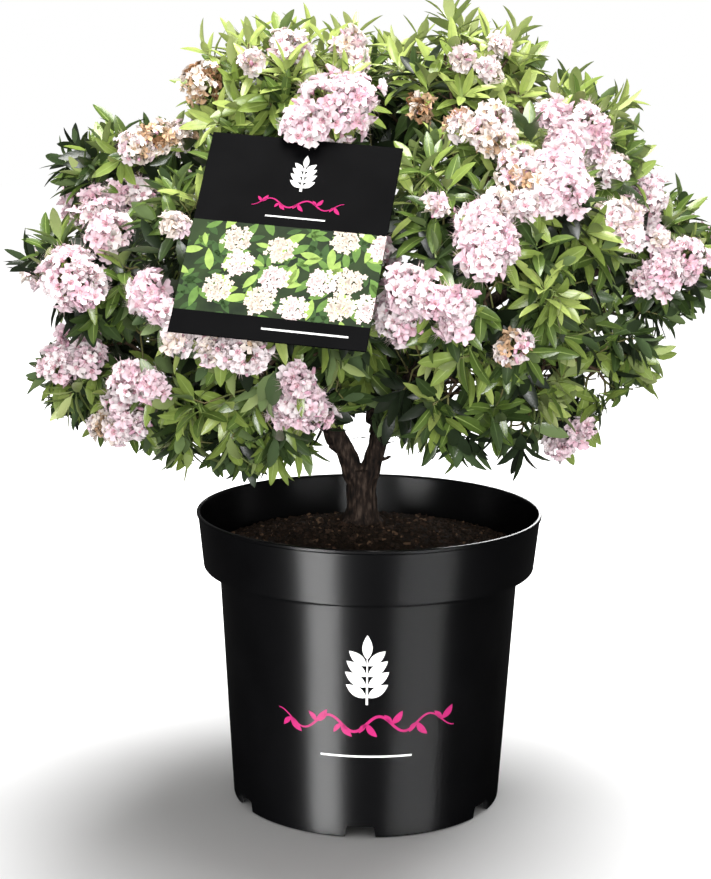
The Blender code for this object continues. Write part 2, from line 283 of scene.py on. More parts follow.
def new_group(name, colours, values, output, kind):
    """A node group with its named inputs and its output, and the outputs of its entry node."""
    group = bpy.data.node_groups.new(name, "ShaderNodeTree")
    for label in colours:
        group.interface.new_socket(name=label, in_out="INPUT", socket_type="NodeSocketColor")
    for label, value in values.items():
        socket = group.interface.new_socket(name=label, in_out="INPUT", socket_type="NodeSocketFloat")
        socket.default_value = value
    group.interface.new_socket(name=output, in_out="OUTPUT", socket_type=kind)
    return group, group.nodes.new("NodeGroupInput").outputs


TINT, entry = new_group("wandering_tint", ("First", "Second"), {"Waves": 60.0}, "Colour", "NodeSocketColor")
place = add_node(TINT, "TexCoord").outputs["Object"]
cloud = add_node(TINT, "TexNoise", {"Vector": place, "Scale": entry["Waves"], "Detail": 4.0})
band = add_node(TINT, "MapRange", {"Value": cloud.outputs["Fac"], "From Min": 0.30, "From Max": 0.70})
colours = {"Factor": band.outputs["Result"], "A": entry["First"], "B": entry["Second"]}
mix = add_node(TINT, "Mix", colours, data_type="RGBA")
feed(TINT.nodes.new("NodeGroupOutput"), {"Colour": mix.outputs["Result"]})

RELIEF, entry = new_group("fine_relief", (), {"Waves": 900.0, "Depth": 0.0001}, "Normal", "NodeSocketVector")
place = add_node(RELIEF, "TexCoord").outputs["Object"]
cloud = add_node(RELIEF, "TexNoise", {"Vector": place, "Scale": entry["Waves"], "Detail": 3.0})
bump = add_node(RELIEF, "Bump", {"Distance": entry["Depth"], "Height": cloud.outputs["Fac"]})
feed(RELIEF.nodes.new("NodeGroupOutput"), {"Normal": bump.outputs["Normal"]})

# %% A material from two colours


def new_material(name):
    """An empty material: its node tree and its Principled shader, and the material itself."""
    material = bpy.data.materials.new(name)
    material.use_nodes = True
    return material, material.node_tree, material.node_tree.nodes["Principled BSDF"]


def material_of(name, first, second, roughness, waves=60.0, relief=None, specular=0.5):
    """A Principled material whose colour wanders between two, with fine relief where it is asked for."""
    material, tree, shader = new_material(name)
    colours = {"First": (*first, 1.0), "Second": (*second, 1.0), "Waves": waves}
    tint = add_node(tree, "Group", colours, node_tree=TINT)
    tint.name = "tint"
    feed(shader, {"Roughness": roughness, "Specular IOR Level": specular, "Base Color": tint.outputs["Colour"]})
    if relief is not None:
        bumps = add_node(tree, "Group", {"Waves": relief[0], "Depth": relief[1]}, node_tree=RELIEF)
        feed(shader, {"Normal": bumps.outputs["Normal"]})
    return material


# %% [markdown]
# ## Floor, surroundings and lights
#
# The plant stands on a plain white floor. The camera sees white around it, while the light that reaches the
# plant is dimmer, and dimmer still in reflections, so that the crown keeps its depth and the pot stays black.
# The floor also glows for the camera alone, as painted light: not near the plant, more and more further out.
# Soft lamps light the crown from above, from the front and from behind. The floor has a lamp of its own, a
# little behind the plant, so that the crown's soft shadow falls forwards. Two tall lamps light the pot alone:
# the left one draws the long highlight down it, the right one a fainter streak. They stand partly lower than
# the floor, where the tapering wall mirrors them, and only the pot's own parts can shade them.

# %% Floor and surroundings

FLOOR_RADIUS = 7.0
FLOOR_DROP = 0.4 * MM
WHITE = (1.0, 1.0, 1.0, 1.0)
SURROUND_LIGHT = 0.44
MIRRORED_LIGHT = 0.10
FLOOR_MIRRORED = 0.012
FLOOR_BOUNCE = 0.40
# painted light: the floor glows for the camera alone, none within 0.30 m of the plant, up to 0.70 beyond 0.90 m
GLOW = {"From Min": 0.30, "From Max": 0.90, "To Min": 0.0, "To Max": 0.70}

floor = added(
    bpy.ops.mesh.primitive_circle_add,
    vertices=96, radius=FLOOR_RADIUS, fill_type="NGON", location=(0, 0, -FLOOR_DROP),
)
floor.name = "floor"
floor_white = material_of("floor_white", (0.86, 0.86, 0.86), (0.90, 0.90, 0.90), 0.9, waves=2.0, specular=0.0)
tree = floor_white.node_tree
path = add_node(tree, "LightPath").outputs
place = add_node(tree, "TexCoord").outputs["Object"]
reach = add_node(tree, "VectorMath", {0: place}, operation="LENGTH").outputs["Value"]
widening = add_node(tree, "MapRange", {"Value": reach, **GLOW}, interpolation_type="SMOOTHSTEP").outputs
seen = {0: path["Is Camera Ray"], 1: widening["Result"]}
glow = add_node(tree, "Math", seen, operation="MULTIPLY").outputs[0]
colour = tree.nodes["tint"].outputs["Colour"]
for ray, grey in (("Is Diffuse Ray", FLOOR_BOUNCE), ("Is Glossy Ray", FLOOR_MIRRORED)):
    dimmed = {"Factor": path[ray], "A": colour, "B": (grey, grey, grey, 1.0)}
    colour = add_node(tree, "Mix", dimmed, data_type="RGBA").outputs["Result"]
feed(tree.nodes["Principled BSDF"], {"Emission Color": WHITE, "Emission Strength": glow, "Base Color": colour})
floor.data.materials.append(floor_white)

world = bpy.data.worlds.new("studio")
world.use_nodes = True
bpy.context.scene.world = world
tree = world.node_tree
path = add_node(tree, "LightPath").outputs
around = tree.nodes["Background"]
feed(around, {"Color": (1.0, 0.99, 0.98, 1.0), "Strength": SURROUND_LIGHT})
mirrored = add_node(tree, "Background", {"Strength": MIRRORED_LIGHT})
seen = add_node(tree, "Background", {"Color": WHITE})
shader = around.outputs["Background"]
for ray, background in (("Is Glossy Ray", mirrored), ("Is Camera Ray", seen)):
    choice = {"Fac": path[ray], 1: shader, 2: background.outputs["Background"]}
    shader = add_node(tree, "MixShader", choice).outputs["Shader"]
feed(tree.nodes["World Output"], {"Surface": shader})
bpy.context.scene.view_settings.view_transform = "Standard"
print("floor and surroundings made")

# %% Lamps

CROWN_MIDDLE = (0.0, 0.0, 0.36)
POT_MIDDLE = (0.0, 0.0, 0.10)
FLOOR_MIDDLE = (0.0, 0.0, 0.0)
PLAIN = (1.0, 1.0, 1.0)
WARM = (1.0, 0.99, 0.96)
lit = {name: bpy.data.collections.new(name) for name in ("all_but_floor", "only_floor", "only_pot")}
lit["only_floor"].objects.link(floor)
lit["all_but_floor"].objects.link(floor)
lit["all_but_floor"].collection_objects[0].light_linking.link_state = "EXCLUDE"
# each lamp's place, what it points at, its width, height, power and colour, and what it lights
LAMPS = {
    "lamp_above": ((-0.20, -0.55, 1.70), CROWN_MIDDLE, 0.9, 0.9, 36.0, WARM, "all_but_floor"),
    "lamp_front": ((0.15, -2.2, 0.60), CROWN_MIDDLE, 1.0, 0.8, 37.0, PLAIN, "all_but_floor"),
    "lamp_back": ((0.5, 2.2, 1.05), CROWN_MIDDLE, 1.0, 0.8, 20.0, PLAIN, "all_but_floor"),
    "lamp_floor": ((0.12, 0.30, 1.5), FLOOR_MIDDLE, 1.2, 1.2, 62.0, PLAIN, "only_floor"),
    "lamp_left": ((-0.83, -1.25, -0.30), POT_MIDDLE, 0.60, 1.4, 28.0, PLAIN, "only_pot"),
    "lamp_right": ((0.96, -1.14, -0.30), POT_MIDDLE, 1.0, 1.4, 9.0, PLAIN, "only_pot"),
}
for name, (place, target, width, height, power, colour, lights) in LAMPS.items():
    data = bpy.data.lights.new(name, "AREA")
    data.shape = "RECTANGLE"
    data.size, data.size_y, data.energy, data.color = width, height, power, colour
    light = bpy.data.objects.new(name, data)
    light.location = place
    light.rotation_euler = (Vector(target) - Vector(place)).to_track_quat("-Z", "Y").to_euler()
    light.light_linking.receiver_collection = lit[lights]
    if lights == "only_pot":
        data.cycles.use_multiple_importance_sampling = False
        light.light_linking.blocker_collection = lit[lights]
    bpy.context.scene.collection.objects.link(light)
print("lamps:", len(LAMPS))

# %% [markdown]
# ## Pot
#
# The real pot is a thin shell of injection-moulded plastic. It could be spun from a drawn profile. Here a
# circle is extruded ring by ring, out under the base, up the outside, over the rim and down the inside, because
# each ring can then be read as a radius and a height. Extra rings beside the tight bends keep the long walls
# flat in the light. Under the collar the wall steps in almost level.

# %% Profile of the pot

POT_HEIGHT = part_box("pot")[1].z
RIM_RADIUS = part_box("pot")[1].x
WALL = 1.6 * MM
FOOT_WALL = 3.0 * MM
COLLAR_FOOT_RADIUS = 110.6 * MM
COLLAR_FOOT_Z = 159.2 * MM
TUCK_Z = 147.8 * MM
STEP_Z = 156.6 * MM
BODY_TOP_RADIUS = 99.4 * MM
BODY_FOOT_RADIUS = 90.5 * MM
BASE_UNDERSIDE_Z = 9.0 * MM
FLOOR_Z = 11.5 * MM
LATHE_STEPS = 192


def body_radius(height):
    """Outer radius of the tapering body at a height."""
    return BODY_FOOT_RADIUS + (BODY_TOP_RADIUS - BODY_FOOT_RADIUS) * height / TUCK_Z


def collar_radius(height):
    """Outer radius of the collar at a height."""
    share = (height - COLLAR_FOOT_Z) / (POT_HEIGHT - COLLAR_FOOT_Z)
    return COLLAR_FOOT_RADIUS + share * (RIM_RADIUS - 0.7 * MM - COLLAR_FOOT_RADIUS)


def lathe(name, rings, material, steps=LATHE_STEPS):
    """A closed turned shape: a circle at the first ring, extruded and scaled through all the others."""
    radius, height = rings[0]
    piece = added(
        bpy.ops.mesh.primitive_circle_add,
        vertices=steps, radius=radius, fill_type="NOTHING", location=(0, 0, height),
    )
    piece.name = name
    settle(piece)
    bpy.ops.object.mode_set(mode="EDIT")
    bpy.ops.mesh.select_all(action="SELECT")
    bpy.ops.mesh.extrude_edges_move()
    bpy.ops.mesh.merge(type="CENTER")
    bpy.ops.object.mode_set(mode="OBJECT")
    for corner in piece.data.vertices:
        corner.select = corner.co.xy.length > radius / 2
    for edge in piece.data.edges:
        edge.select = all(piece.data.vertices[i].select for i in edge.vertices)
    for face in piece.data.polygons:
        face.select = False
    bpy.ops.object.mode_set(mode="EDIT")
    for next_radius, next_height in rings[1:]:
        bpy.ops.mesh.extrude_edges_move(TRANSFORM_OT_translate={"value": (0.0, 0.0, next_height - height)})
        scale = next_radius / radius
        bpy.ops.transform.resize(value=(scale, scale, 1.0), center_override=(0.0, 0.0, next_height))
        radius, height = next_radius, next_height
    bpy.ops.mesh.extrude_edges_move()
    bpy.ops.mesh.merge(type="CENTER")
    bpy.ops.object.mode_set(mode="OBJECT")
    recalculate(piece)
    piece.data.materials.append(material)
    return piece


RIM_INNER = collar_radius(POT_HEIGHT) - WALL
BEAD_Z = POT_HEIGHT - 2.6 * MM
POT_RINGS = [
    (0.010, BASE_UNDERSIDE_Z),
    (BODY_FOOT_RADIUS - FOOT_WALL - 0.6 * MM, BASE_UNDERSIDE_Z),
    (BODY_FOOT_RADIUS - FOOT_WALL, BASE_UNDERSIDE_Z - 0.6 * MM),
    (BODY_FOOT_RADIUS - FOOT_WALL, 0.4 * MM),
    (BODY_FOOT_RADIUS - FOOT_WALL + 0.4 * MM, 0.0),
    (BODY_FOOT_RADIUS - 0.6 * MM, 0.0),
    (BODY_FOOT_RADIUS - 0.1 * MM, 0.4 * MM),
    (body_radius(1.2 * MM), 1.2 * MM),
    (body_radius(12.0 * MM), 12.0 * MM),
    (body_radius(13.0 * MM), 13.0 * MM),
    (body_radius(STEP_Z - 2.4 * MM), STEP_Z - 2.4 * MM),
    (body_radius(STEP_Z - 1.4 * MM), STEP_Z - 1.4 * MM),
    (body_radius(STEP_Z) + 0.3 * MM, STEP_Z - 0.2 * MM),
    (body_radius(STEP_Z) + 1.4 * MM, STEP_Z + 0.5 * MM),
    (body_radius(STEP_Z) + 2.4 * MM, STEP_Z + 0.8 * MM),
    (COLLAR_FOOT_RADIUS - 1.8 * MM, COLLAR_FOOT_Z - 0.7 * MM),
    (COLLAR_FOOT_RADIUS - 0.6 * MM, COLLAR_FOOT_Z - 0.5 * MM),
    (COLLAR_FOOT_RADIUS - 0.1 * MM, COLLAR_FOOT_Z + 0.1 * MM),
    (collar_radius(COLLAR_FOOT_Z + 0.8 * MM), COLLAR_FOOT_Z + 0.8 * MM),
    (collar_radius(COLLAR_FOOT_Z + 1.8 * MM), COLLAR_FOOT_Z + 1.8 * MM),
    (collar_radius(BEAD_Z - 1.4 * MM), BEAD_Z - 1.4 * MM),
    (collar_radius(BEAD_Z - 0.4 * MM), BEAD_Z - 0.4 * MM),
    (RIM_RADIUS - 0.25 * MM, BEAD_Z + 0.2 * MM),
    (RIM_RADIUS, BEAD_Z + 0.6 * MM),
    (RIM_RADIUS, POT_HEIGHT - 0.6 * MM),
    (RIM_RADIUS - 0.5 * MM, POT_HEIGHT),
    (RIM_INNER + 0.5 * MM, POT_HEIGHT),
    (RIM_INNER, POT_HEIGHT - 0.6 * MM),
    (collar_radius(POT_HEIGHT - 1.8 * MM) - WALL, POT_HEIGHT - 1.8 * MM),
    (COLLAR_FOOT_RADIUS - WALL + 0.1 * MM, COLLAR_FOOT_Z + 2.2 * MM),
    (COLLAR_FOOT_RADIUS - WALL - 0.4 * MM, COLLAR_FOOT_Z + 1.1 * MM),
    (body_radius(STEP_Z) - WALL + 1.0 * MM, STEP_Z + 2.4 * MM),
    (body_radius(STEP_Z) - WALL, STEP_Z + 1.4 * MM),
    (body_radius(FLOOR_Z) - WALL, FLOOR_Z),
    (0.010, FLOOR_Z),
]
pot_material = material_of(
    "pot_black_plastic", (0.0012, 0.0012, 0.0014), (0.0022, 0.0022, 0.0025), 0.24, waves=25.0,
    relief=(1400.0, 0.00002), specular=0.30,
)
pot = lathe("pot_shell", POT_RINGS, pot_material)
print("pot:", len(POT_RINGS), "rings")

# %% Notches in the foot and drain holes

NOTCHES = 6
FIRST_NOTCH = math.radians(-92.0)
NOTCH_WIDTH = 21.5 * MM
NOTCH_TOP_SHARE = 17.5 / 21.5
NOTCH_HEIGHT = 7.8 * MM
NOTCH_DEPTH = 12.0 * MM
NOTCH_ROUNDING = 1.6 * MM
DRAIN_RADIUS = 5.0 * MM
DRAIN_RING = 72.0 * MM
DRILL_DEPTH = 10.0 * MM


def cut_out(piece, tool):
    """Take a closed tool out of a piece, and remove the tool."""
    modified(piece, "BOOLEAN", operation="DIFFERENCE", solver="EXACT", object=tool)
    bpy.data.objects.remove(tool, do_unlink=True)


def notch_tool(angle):
    """A block for one notch: a cube whose top is drawn in, with its edges rounded."""
    outwards = Vector((math.cos(angle), math.sin(angle), 0.0))
    place = outwards * (BODY_FOOT_RADIUS - FOOT_WALL / 2)
    tool = added(bpy.ops.mesh.primitive_cube_add, size=1.0, location=place)
    tool.scale = (NOTCH_DEPTH, NOTCH_WIDTH, NOTCH_HEIGHT * 2)
    tool.rotation_euler.z = angle
    for corner in tool.data.vertices:
        if corner.co.z > 0:
            corner.co.y *= NOTCH_TOP_SHARE
    settle(tool)
    modified(tool, "BEVEL", width=NOTCH_ROUNDING, segments=4)
    return tool


for i in range(NOTCHES):
    turn = FIRST_NOTCH + i * math.tau / NOTCHES
    cut_out(pot, notch_tool(turn))
    place = (DRAIN_RING * math.cos(turn), DRAIN_RING * math.sin(turn), (BASE_UNDERSIDE_Z + FLOOR_Z) / 2)
    drill = {"vertices": 24, "radius": DRAIN_RADIUS, "depth": DRILL_DEPTH, "location": place}
    cut_out(pot, added(bpy.ops.mesh.primitive_cylinder_add, **drill))
recalculate(pot)
activate(pot)
bpy.ops.object.shade_smooth_by_angle(angle=math.radians(32))
finish_piece(pot, "pot_plastic", "pot")
lit["only_pot"].objects.link(pot)

# %% [markdown]
# ## Print on the pot
#
# Nursery pots are printed. The design here is a plain one: a white sprig of leaves, a magenta tendril under it
# and a thin white rule. Each shape is drawn flat in front of the pot, cut into small faces so that it can
# bend, and thrown straight back onto the wall by a Shrinkwrap modifier.

# %% Flat shapes for the prints

INK_LIFT = 0.10 * MM


def flat_leaf(length, width, curl=0.0, steps=10):
    """Outline of a plain leaf from its foot at the origin, as (across, along) points."""
    sides = {1: [], -1: []}
    for i in range(steps + 1):
        share = i / steps
        half = width / 2 * math.sin(math.pi * share**0.9) ** 0.85
        bow = curl * length * math.sin(math.pi * share)
        for side, points in sides.items():
            points.append((bow + side * half, share * length))
    return sides[1] + sides[-1][-2:0:-1]


def flat_ribbon(line, widths):
    """Outline of a ribbon along a line of (across, up) points, with a width at each."""
    line = np.array(line)
    along = unit(np.gradient(line, axis=0))
    side = np.stack([-along[:, 1], along[:, 0]], axis=1) * (np.array(widths)[:, None] / 2)
    return [tuple(point) for point in np.concatenate([line + side, (line - side)[::-1]])]


def placed(outline, place, turn=0.0, size=1.0):
    """An outline turned by an angle, scaled, and moved."""
    cosine, sine = math.cos(turn), math.sin(turn)
    return [
        (place[0] + size * (x * cosine - y * sine), place[1] + size * (x * sine + y * cosine))
        for x, y in outline
    ]


def flat_piece(name, outlines, material):
    """A flat mesh in the XZ plane, one face for each outline, facing the front."""
    points = []
    faces = []
    for outline in outlines:
        faces.append(list(range(len(points), len(points) + len(outline))))
        points += [(x, 0.0, z) for x, z in outline]
    mesh = bpy.data.meshes.new(name)
    mesh.from_pydata(points, [], faces)
    piece = linked(name, mesh, material)
    edit(piece, (bpy.ops.mesh.quads_convert_to_tris, {"quad_method": "BEAUTY", "ngon_method": "BEAUTY"}))
    return piece


def wave(across, reach, height, turns):
    """Height of the tendril's centre line."""
    return height * math.sin(math.tau * turns * across / reach)


def sprig(stem_height, leaf_length, pairs):
    """Outlines of a stem with paired leaves and one at its tip, standing on the origin."""
    shapes = [flat_ribbon([(0.0, stem_height * i / 12) for i in range(13)], np.linspace(1.5, 0.7, 13) * MM)]
    for i in range(pairs):
        share = (i + 0.7) / (pairs + 0.4)
        size = 1.0 - 0.35 * abs(share - 0.45)
        leaf = flat_leaf(leaf_length * size, leaf_length * size * 0.42)
        for side in (-1, 1):
            foot = (side * 0.6 * MM, stem_height * share)
            shapes.append(placed(leaf, foot, side * -math.radians(58 - 12 * share)))
    shapes.append(placed(flat_leaf(leaf_length * 0.95, leaf_length * 0.38), (0.0, stem_height * 0.98)))
    return shapes


def tendril(reach, height, turns, thick, leaf_length):
    """Outlines of a wavy stem with a leaf at every crest and hollow."""
    steps = 72
    across = [-reach / 2 + reach * i / steps for i in range(steps + 1)]
    line = [(x, wave(x, reach, height, turns)) for x in across]
    widths = [thick * (0.35 + 0.65 * math.sin(math.pi * i / steps)) for i in range(steps + 1)]
    shapes = [flat_ribbon(line, widths)]
    count = int(2 * turns)
    leaf = flat_leaf(leaf_length, leaf_length * 0.40, curl=0.06)
    for i in range(count):
        x = -reach / 2 + reach * (i + 0.5) / count
        up = 1 if wave(x, reach, height, turns) > 0 else -1
        foot = (x, wave(x, reach, height, turns))
        lean = math.radians(-38) if up > 0 else math.radians(-142)
        shapes.append(placed(leaf, foot, lean))
        shapes.append(placed(leaf, foot, lean + up * math.radians(76), 0.72))
    return shapes


# %% Wrap the prints round the pot

PRINT_FRONT_Y = -0.14
PRINT_LEFT = -75 * MM
PRINT_RIGHT = 85 * MM
PRINT_STRIPS = 64


def ink(name, colour, second, roughness=0.4, waves=400.0, specular=0.05):
    """Printing ink: almost one colour, and a little glossy."""
    return material_of(name, colour, second, roughness, waves=waves, specular=specular)


white_ink = ink("print_white", (0.82, 0.82, 0.81), (0.76, 0.76, 0.75), 0.42, 500.0, 0.3)
magenta_ink = ink("print_magenta", (0.40, 0.010, 0.125), (0.34, 0.008, 0.105), 0.40, 500.0, 0.3)


def wrap_print(name, outlines, centre_z, material):
    """Hang flat shapes before the pot, cut them in upright strips, and throw them back onto its wall."""
    piece = flat_piece(name, [placed(outline, (0.0, centre_z)) for outline in outlines], material)
    cuts = [PRINT_LEFT + (PRINT_RIGHT - PRINT_LEFT) * i / PRINT_STRIPS for i in range(PRINT_STRIPS + 1)]
    across = (1.0, 0.0, 0.0)
    edit(piece, *((bpy.ops.mesh.bisect, {"plane_co": (x, 0.0, 0.0), "plane_no": across}) for x in cuts))
    piece.location.y = PRINT_FRONT_Y
    settle(piece)
    modified(
        piece, "SHRINKWRAP", target=pot, wrap_method="PROJECT", use_project_y=True,
        use_positive_direction=True, use_negative_direction=False, offset=INK_LIFT,
    )
    finish_piece(piece, "pot_print")
    lit["only_pot"].objects.link(piece)


wrap_print("print_sprig", sprig(31 * MM, 17 * MM, 4), 91.0 * MM, white_ink)
wrap_print("print_tendril", tendril(112 * MM, 5.2 * MM, 3.5, 1.9 * MM, 11 * MM), 78.0 * MM, magenta_ink)
rule = [flat_ribbon([(-29 * MM + 58 * MM * i / 30, 0.0) for i in range(31)], [1.3 * MM] * 31)]
wrap_print("print_rule", rule, 56.0 * MM, white_ink)

# %% [markdown]
# ## Compost
#
# Peat and bark fines lie in a low mound round the trunk. The mound is a turned shape with close rings on top
# that are pushed up and down by noise. A few rough crumbs and chips are modelled once each and strewn over it
# many times, in three tints.

# %% Mound

COMPOST_EDGE_Z = 166.5 * MM
COMPOST_TOP_Z = 185.0 * MM
COMPOST_FLAT_RADIUS = 28.0 * MM
COMPOST_EDGE_RADIUS = collar_radius(COMPOST_EDGE_Z) - WALL - 0.3 * MM
TRUNK_PLACE = Vector((-5.0 * MM, 8.0 * MM, COMPOST_TOP_Z))


def compost_top(radius):
    """Height of the mound's surface at a distance from the pot's axis."""
    share = (COMPOST_EDGE_RADIUS - radius) / (COMPOST_EDGE_RADIUS - COMPOST_FLAT_RADIUS)
    return COMPOST_EDGE_Z + (COMPOST_TOP_Z - COMPOST_EDGE_Z) * min(1.0, max(0.0, share))


COMPOST_TINTS = {
    "dark": ((0.010, 0.0065, 0.0045), (0.030, 0.018, 0.011), 0.95, 420.0, (1100.0, 0.0007), 0.2),
    "brown": ((0.026, 0.015, 0.0095), (0.055, 0.032, 0.020), 0.9, 300.0, (900.0, 0.0004), 0.25),
    "tan": ((0.115, 0.066, 0.038), (0.19, 0.115, 0.068), 0.85, 260.0, (900.0, 0.0003), 0.3),
}
compost = {name: material_of(f"compost_{name}", *values) for name, values in COMPOST_TINTS.items()}

STEP_INNER = body_radius(STEP_Z) - WALL - 0.6 * MM
MOUND_STEPS = 44
mound_rings = [
    (0.010, FLOOR_Z + 0.3 * MM),
    (body_radius(FLOOR_Z) - WALL - 0.6 * MM, FLOOR_Z + 0.3 * MM),
    (STEP_INNER, STEP_Z + 1.8 * MM),
    (STEP_INNER + 1.0 * MM, STEP_Z + 3.2 * MM),
    (COLLAR_FOOT_RADIUS - WALL - 1.0 * MM, COLLAR_FOOT_Z + 2.0 * MM),
]
for i in range(MOUND_STEPS):
    ring = COMPOST_EDGE_RADIUS + (0.004 - COMPOST_EDGE_RADIUS) * i / (MOUND_STEPS - 1)
    mound_rings.append((ring, compost_top(ring)))
mound = lathe("compost_mound", mound_rings, compost["dark"], steps=160)
for corner in mound.data.vertices:
    if corner.co.z > COMPOST_EDGE_Z - 1 * MM:
        lumps = noise.noise(corner.co * 160.0) * 1.5 * MM + noise.noise(corner.co * 520.0) * 0.9 * MM
        corner.co.z += lumps * min(1.0, (COMPOST_EDGE_RADIUS - corner.co.xy.length) / (6 * MM))
activate(mound)
bpy.ops.object.shade_smooth()
finish_piece(mound, "compost", "compost", "compost_top")

# %% Crumbs and bark chips

BARE_ROUND_TRUNK = 13.5 * MM


def rough_lump(size, flatness, seed):
    """A rough little lump: an icosphere pushed out of round, flatter than it is wide."""
    lump = added(bpy.ops.mesh.primitive_ico_sphere_add, subdivisions=1, radius=1.0)
    for corner in lump.data.vertices:
        corner.co *= 1.0 + 0.45 * noise.noise(corner.co * 1.7 + Vector((seed, seed, seed)))
    scale = (size, size * 0.72, size * flatness)
    edit(lump, (bpy.ops.transform.resize, {"value": scale, "center_override": (0.0, 0.0, 0.0)}))
    return as_arrays(lump)


def bark_chip(length, width, thick, seed):
    """A splinter of bark: a cube drawn long, cut across its length and bent out of true."""
    chip = added(bpy.ops.mesh.primitive_cube_add, size=1.0)
    cuts = (((0.16, 0.0, 0.0), (1.0, 0.25, 0.0)), ((-0.2, 0.0, 0.0), (1.0, -0.3, 0.0)))
    edit(chip, *((bpy.ops.mesh.bisect, {"plane_co": place, "plane_no": normal}) for place, normal in cuts))
    for corner in chip.data.vertices:
        push = Vector((noise.noise(corner.co * 2.3 + Vector((seed + k * 9.0,) * 3)) for k in range(3)))
        corner.co += push * 0.28
        corner.co = Vector((corner.co.x * length, corner.co.y * width, corner.co.z * thick))
    return as_arrays(chip)


def strewn(shape, count, smallest, largest):
    """Copies of a lump strewn evenly over the mound, turned at random and a little sunk in."""
    points, faces = shape
    spots = COMPOST_EDGE_RADIUS * 0.972 * np.sqrt(rng.uniform(0.0, 1.0, count))
    angle = rng.uniform(0.0, math.tau, count)
    x, y = spots * np.cos(angle), spots * np.sin(angle)
    clear = np.hypot(x - TRUNK_PLACE.x, y - TRUNK_PLACE.y) > BARE_ROUND_TRUNK
    spots, x, y = spots[clear], x[clear], y[clear]
    z = np.array([compost_top(spot) for spot in spots])
    size = rng.uniform(smallest, largest, len(x))
    size *= np.clip((COMPOST_EDGE_RADIUS - spots) / (7 * MM), 0.35, 1.0)
    tops = UP + rng.normal(0.0, 0.42, (len(x), 3))
    turned = facing(rng.normal(0.0, 1.0, (len(x), 3)), unit(tops))
    shapes = np.einsum("nij,nkj->nki", turned, points[None] * size[:, None, None])
    shapes += np.stack([x, y, z + size * 0.6 * MM], axis=1)[:, None]
    return repeated(shapes, faces)


rng = dice(1)
# for each tint: a lump's size and flatness, how many of each lump, and a seed for each lump
CRUMBS = {
    "dark": (1.7 * MM, 0.7, 900, (1.3, 5.1, 8.6)),
    "brown": (1.3 * MM, 0.6, 700, (2.2, 7.7)),
    "tan": (1.0 * MM, 0.5, 210, (3.9, 6.4)),
}
for name, (size, flatness, count, seeds) in CRUMBS.items():
    blocks = [strewn(rough_lump(size, flatness, seed), count, 0.5, 1.35) for seed in seeds]
    finish_piece(joined(f"crumbs_{name}", blocks, compost[name], smooth=False), "compost")
# for each tint: how many chips, and a seed
for name, (count, seed) in {"dark": (120, 11.0), "brown": (130, 14.0), "tan": (45, 17.0)}.items():
    blocks = [strewn(bark_chip(4.6 * MM, 2.1 * MM, 1.1 * MM, seed + k), count, 0.45, 1.25) for k in (0, 1)]
    finish_piece(joined(f"chips_{name}", blocks, compost[name], smooth=False), "compost")

# %% [markdown]
# ## Trunk and boughs
#
# The trunk is about as thick as a thumb. It flares at the root and widens again under the fork, where the
# boughs leave it. Round tubes along the limbs of the solid model are run into each other and remeshed into one
# skin. Its relief is then pushed in and out by noise that is drawn long in the direction of the fibres.

# %% Tubes


def tube_points(line, radii, sides, helper=None):
    """Points of circles square to several lines of points, each circle with its own radius."""
    way = unit(np.gradient(line, axis=1))
    if helper is None:
        helper = np.where(np.abs(way[:, :1, 2:]) > 0.8, np.array((1.0, 0.0, 0.0)), UP)
    across = unit(np.cross(way, helper))
    upwards = np.cross(across, way)
    angle = np.linspace(0.0, math.tau, sides, endpoint=False)[:, None]
    ring = across[:, :, None] * np.cos(angle) + upwards[:, :, None] * np.sin(angle)
    return (line[:, :, None] + ring * radii[:, :, None, None]).reshape(len(line), -1, 3)


def tube_faces(sides, cuts):
    """Triangles of a closed tube: its wall and its two ends."""
    faces = []
    for i in range(cuts):
        for k in range(sides):
            a, b = i * sides + k, i * sides + (k + 1) % sides
            faces += [(a, a + sides, b), (b, a + sides, b + sides)]
    last = cuts * sides
    faces += [(0, k, k + 1) for k in range(1, sides - 1)]
    faces += [(last, last + k + 1, last + k) for k in range(1, sides - 1)]
    return np.array(faces)


def tubes(starts, ends, start_ways, end_ways, start_radii, end_radii, sides, cuts):
    """A block of bent, tapering, closed tubes, each from a start and a way out to an end and a way in."""
    share = np.linspace(0.0, 1.0, cuts + 1)[None, :, None]
    chord = np.linalg.norm(ends - starts, axis=1)[:, None, None]
    line = (
        (2 * share**3 - 3 * share**2 + 1) * starts[:, None]
        + (share**3 - 2 * share**2 + share) * (start_ways[:, None] * chord)
        + (3 * share**2 - 2 * share**3) * ends[:, None]
        + (share**3 - share**2) * (end_ways[:, None] * chord)
    )
    radii = start_radii[:, None] + (end_radii - start_radii)[:, None] * share[0, :, 0]
    return repeated(tube_points(line, radii, sides), tube_faces(sides, cuts))


def tube_along(line, radii, sides):
    """A closed tube through many points, as one block."""
    line = np.array([line], float)
    points = tube_points(line, np.array([radii]), sides, np.array((0.0, 1.0, 0.0)))
    return points[0], tube_faces(sides, line.shape[1] - 1)


# %% Bark

TRUNK_FOOT = np.array((-5.0, 8.0, 185.3)) * MM
TRUNK_LENGTH = 37.2 * MM
TRUNK_RADIUS = 9.6 * MM
CROWN_UNDERSIDE_Z = 252.0 * MM


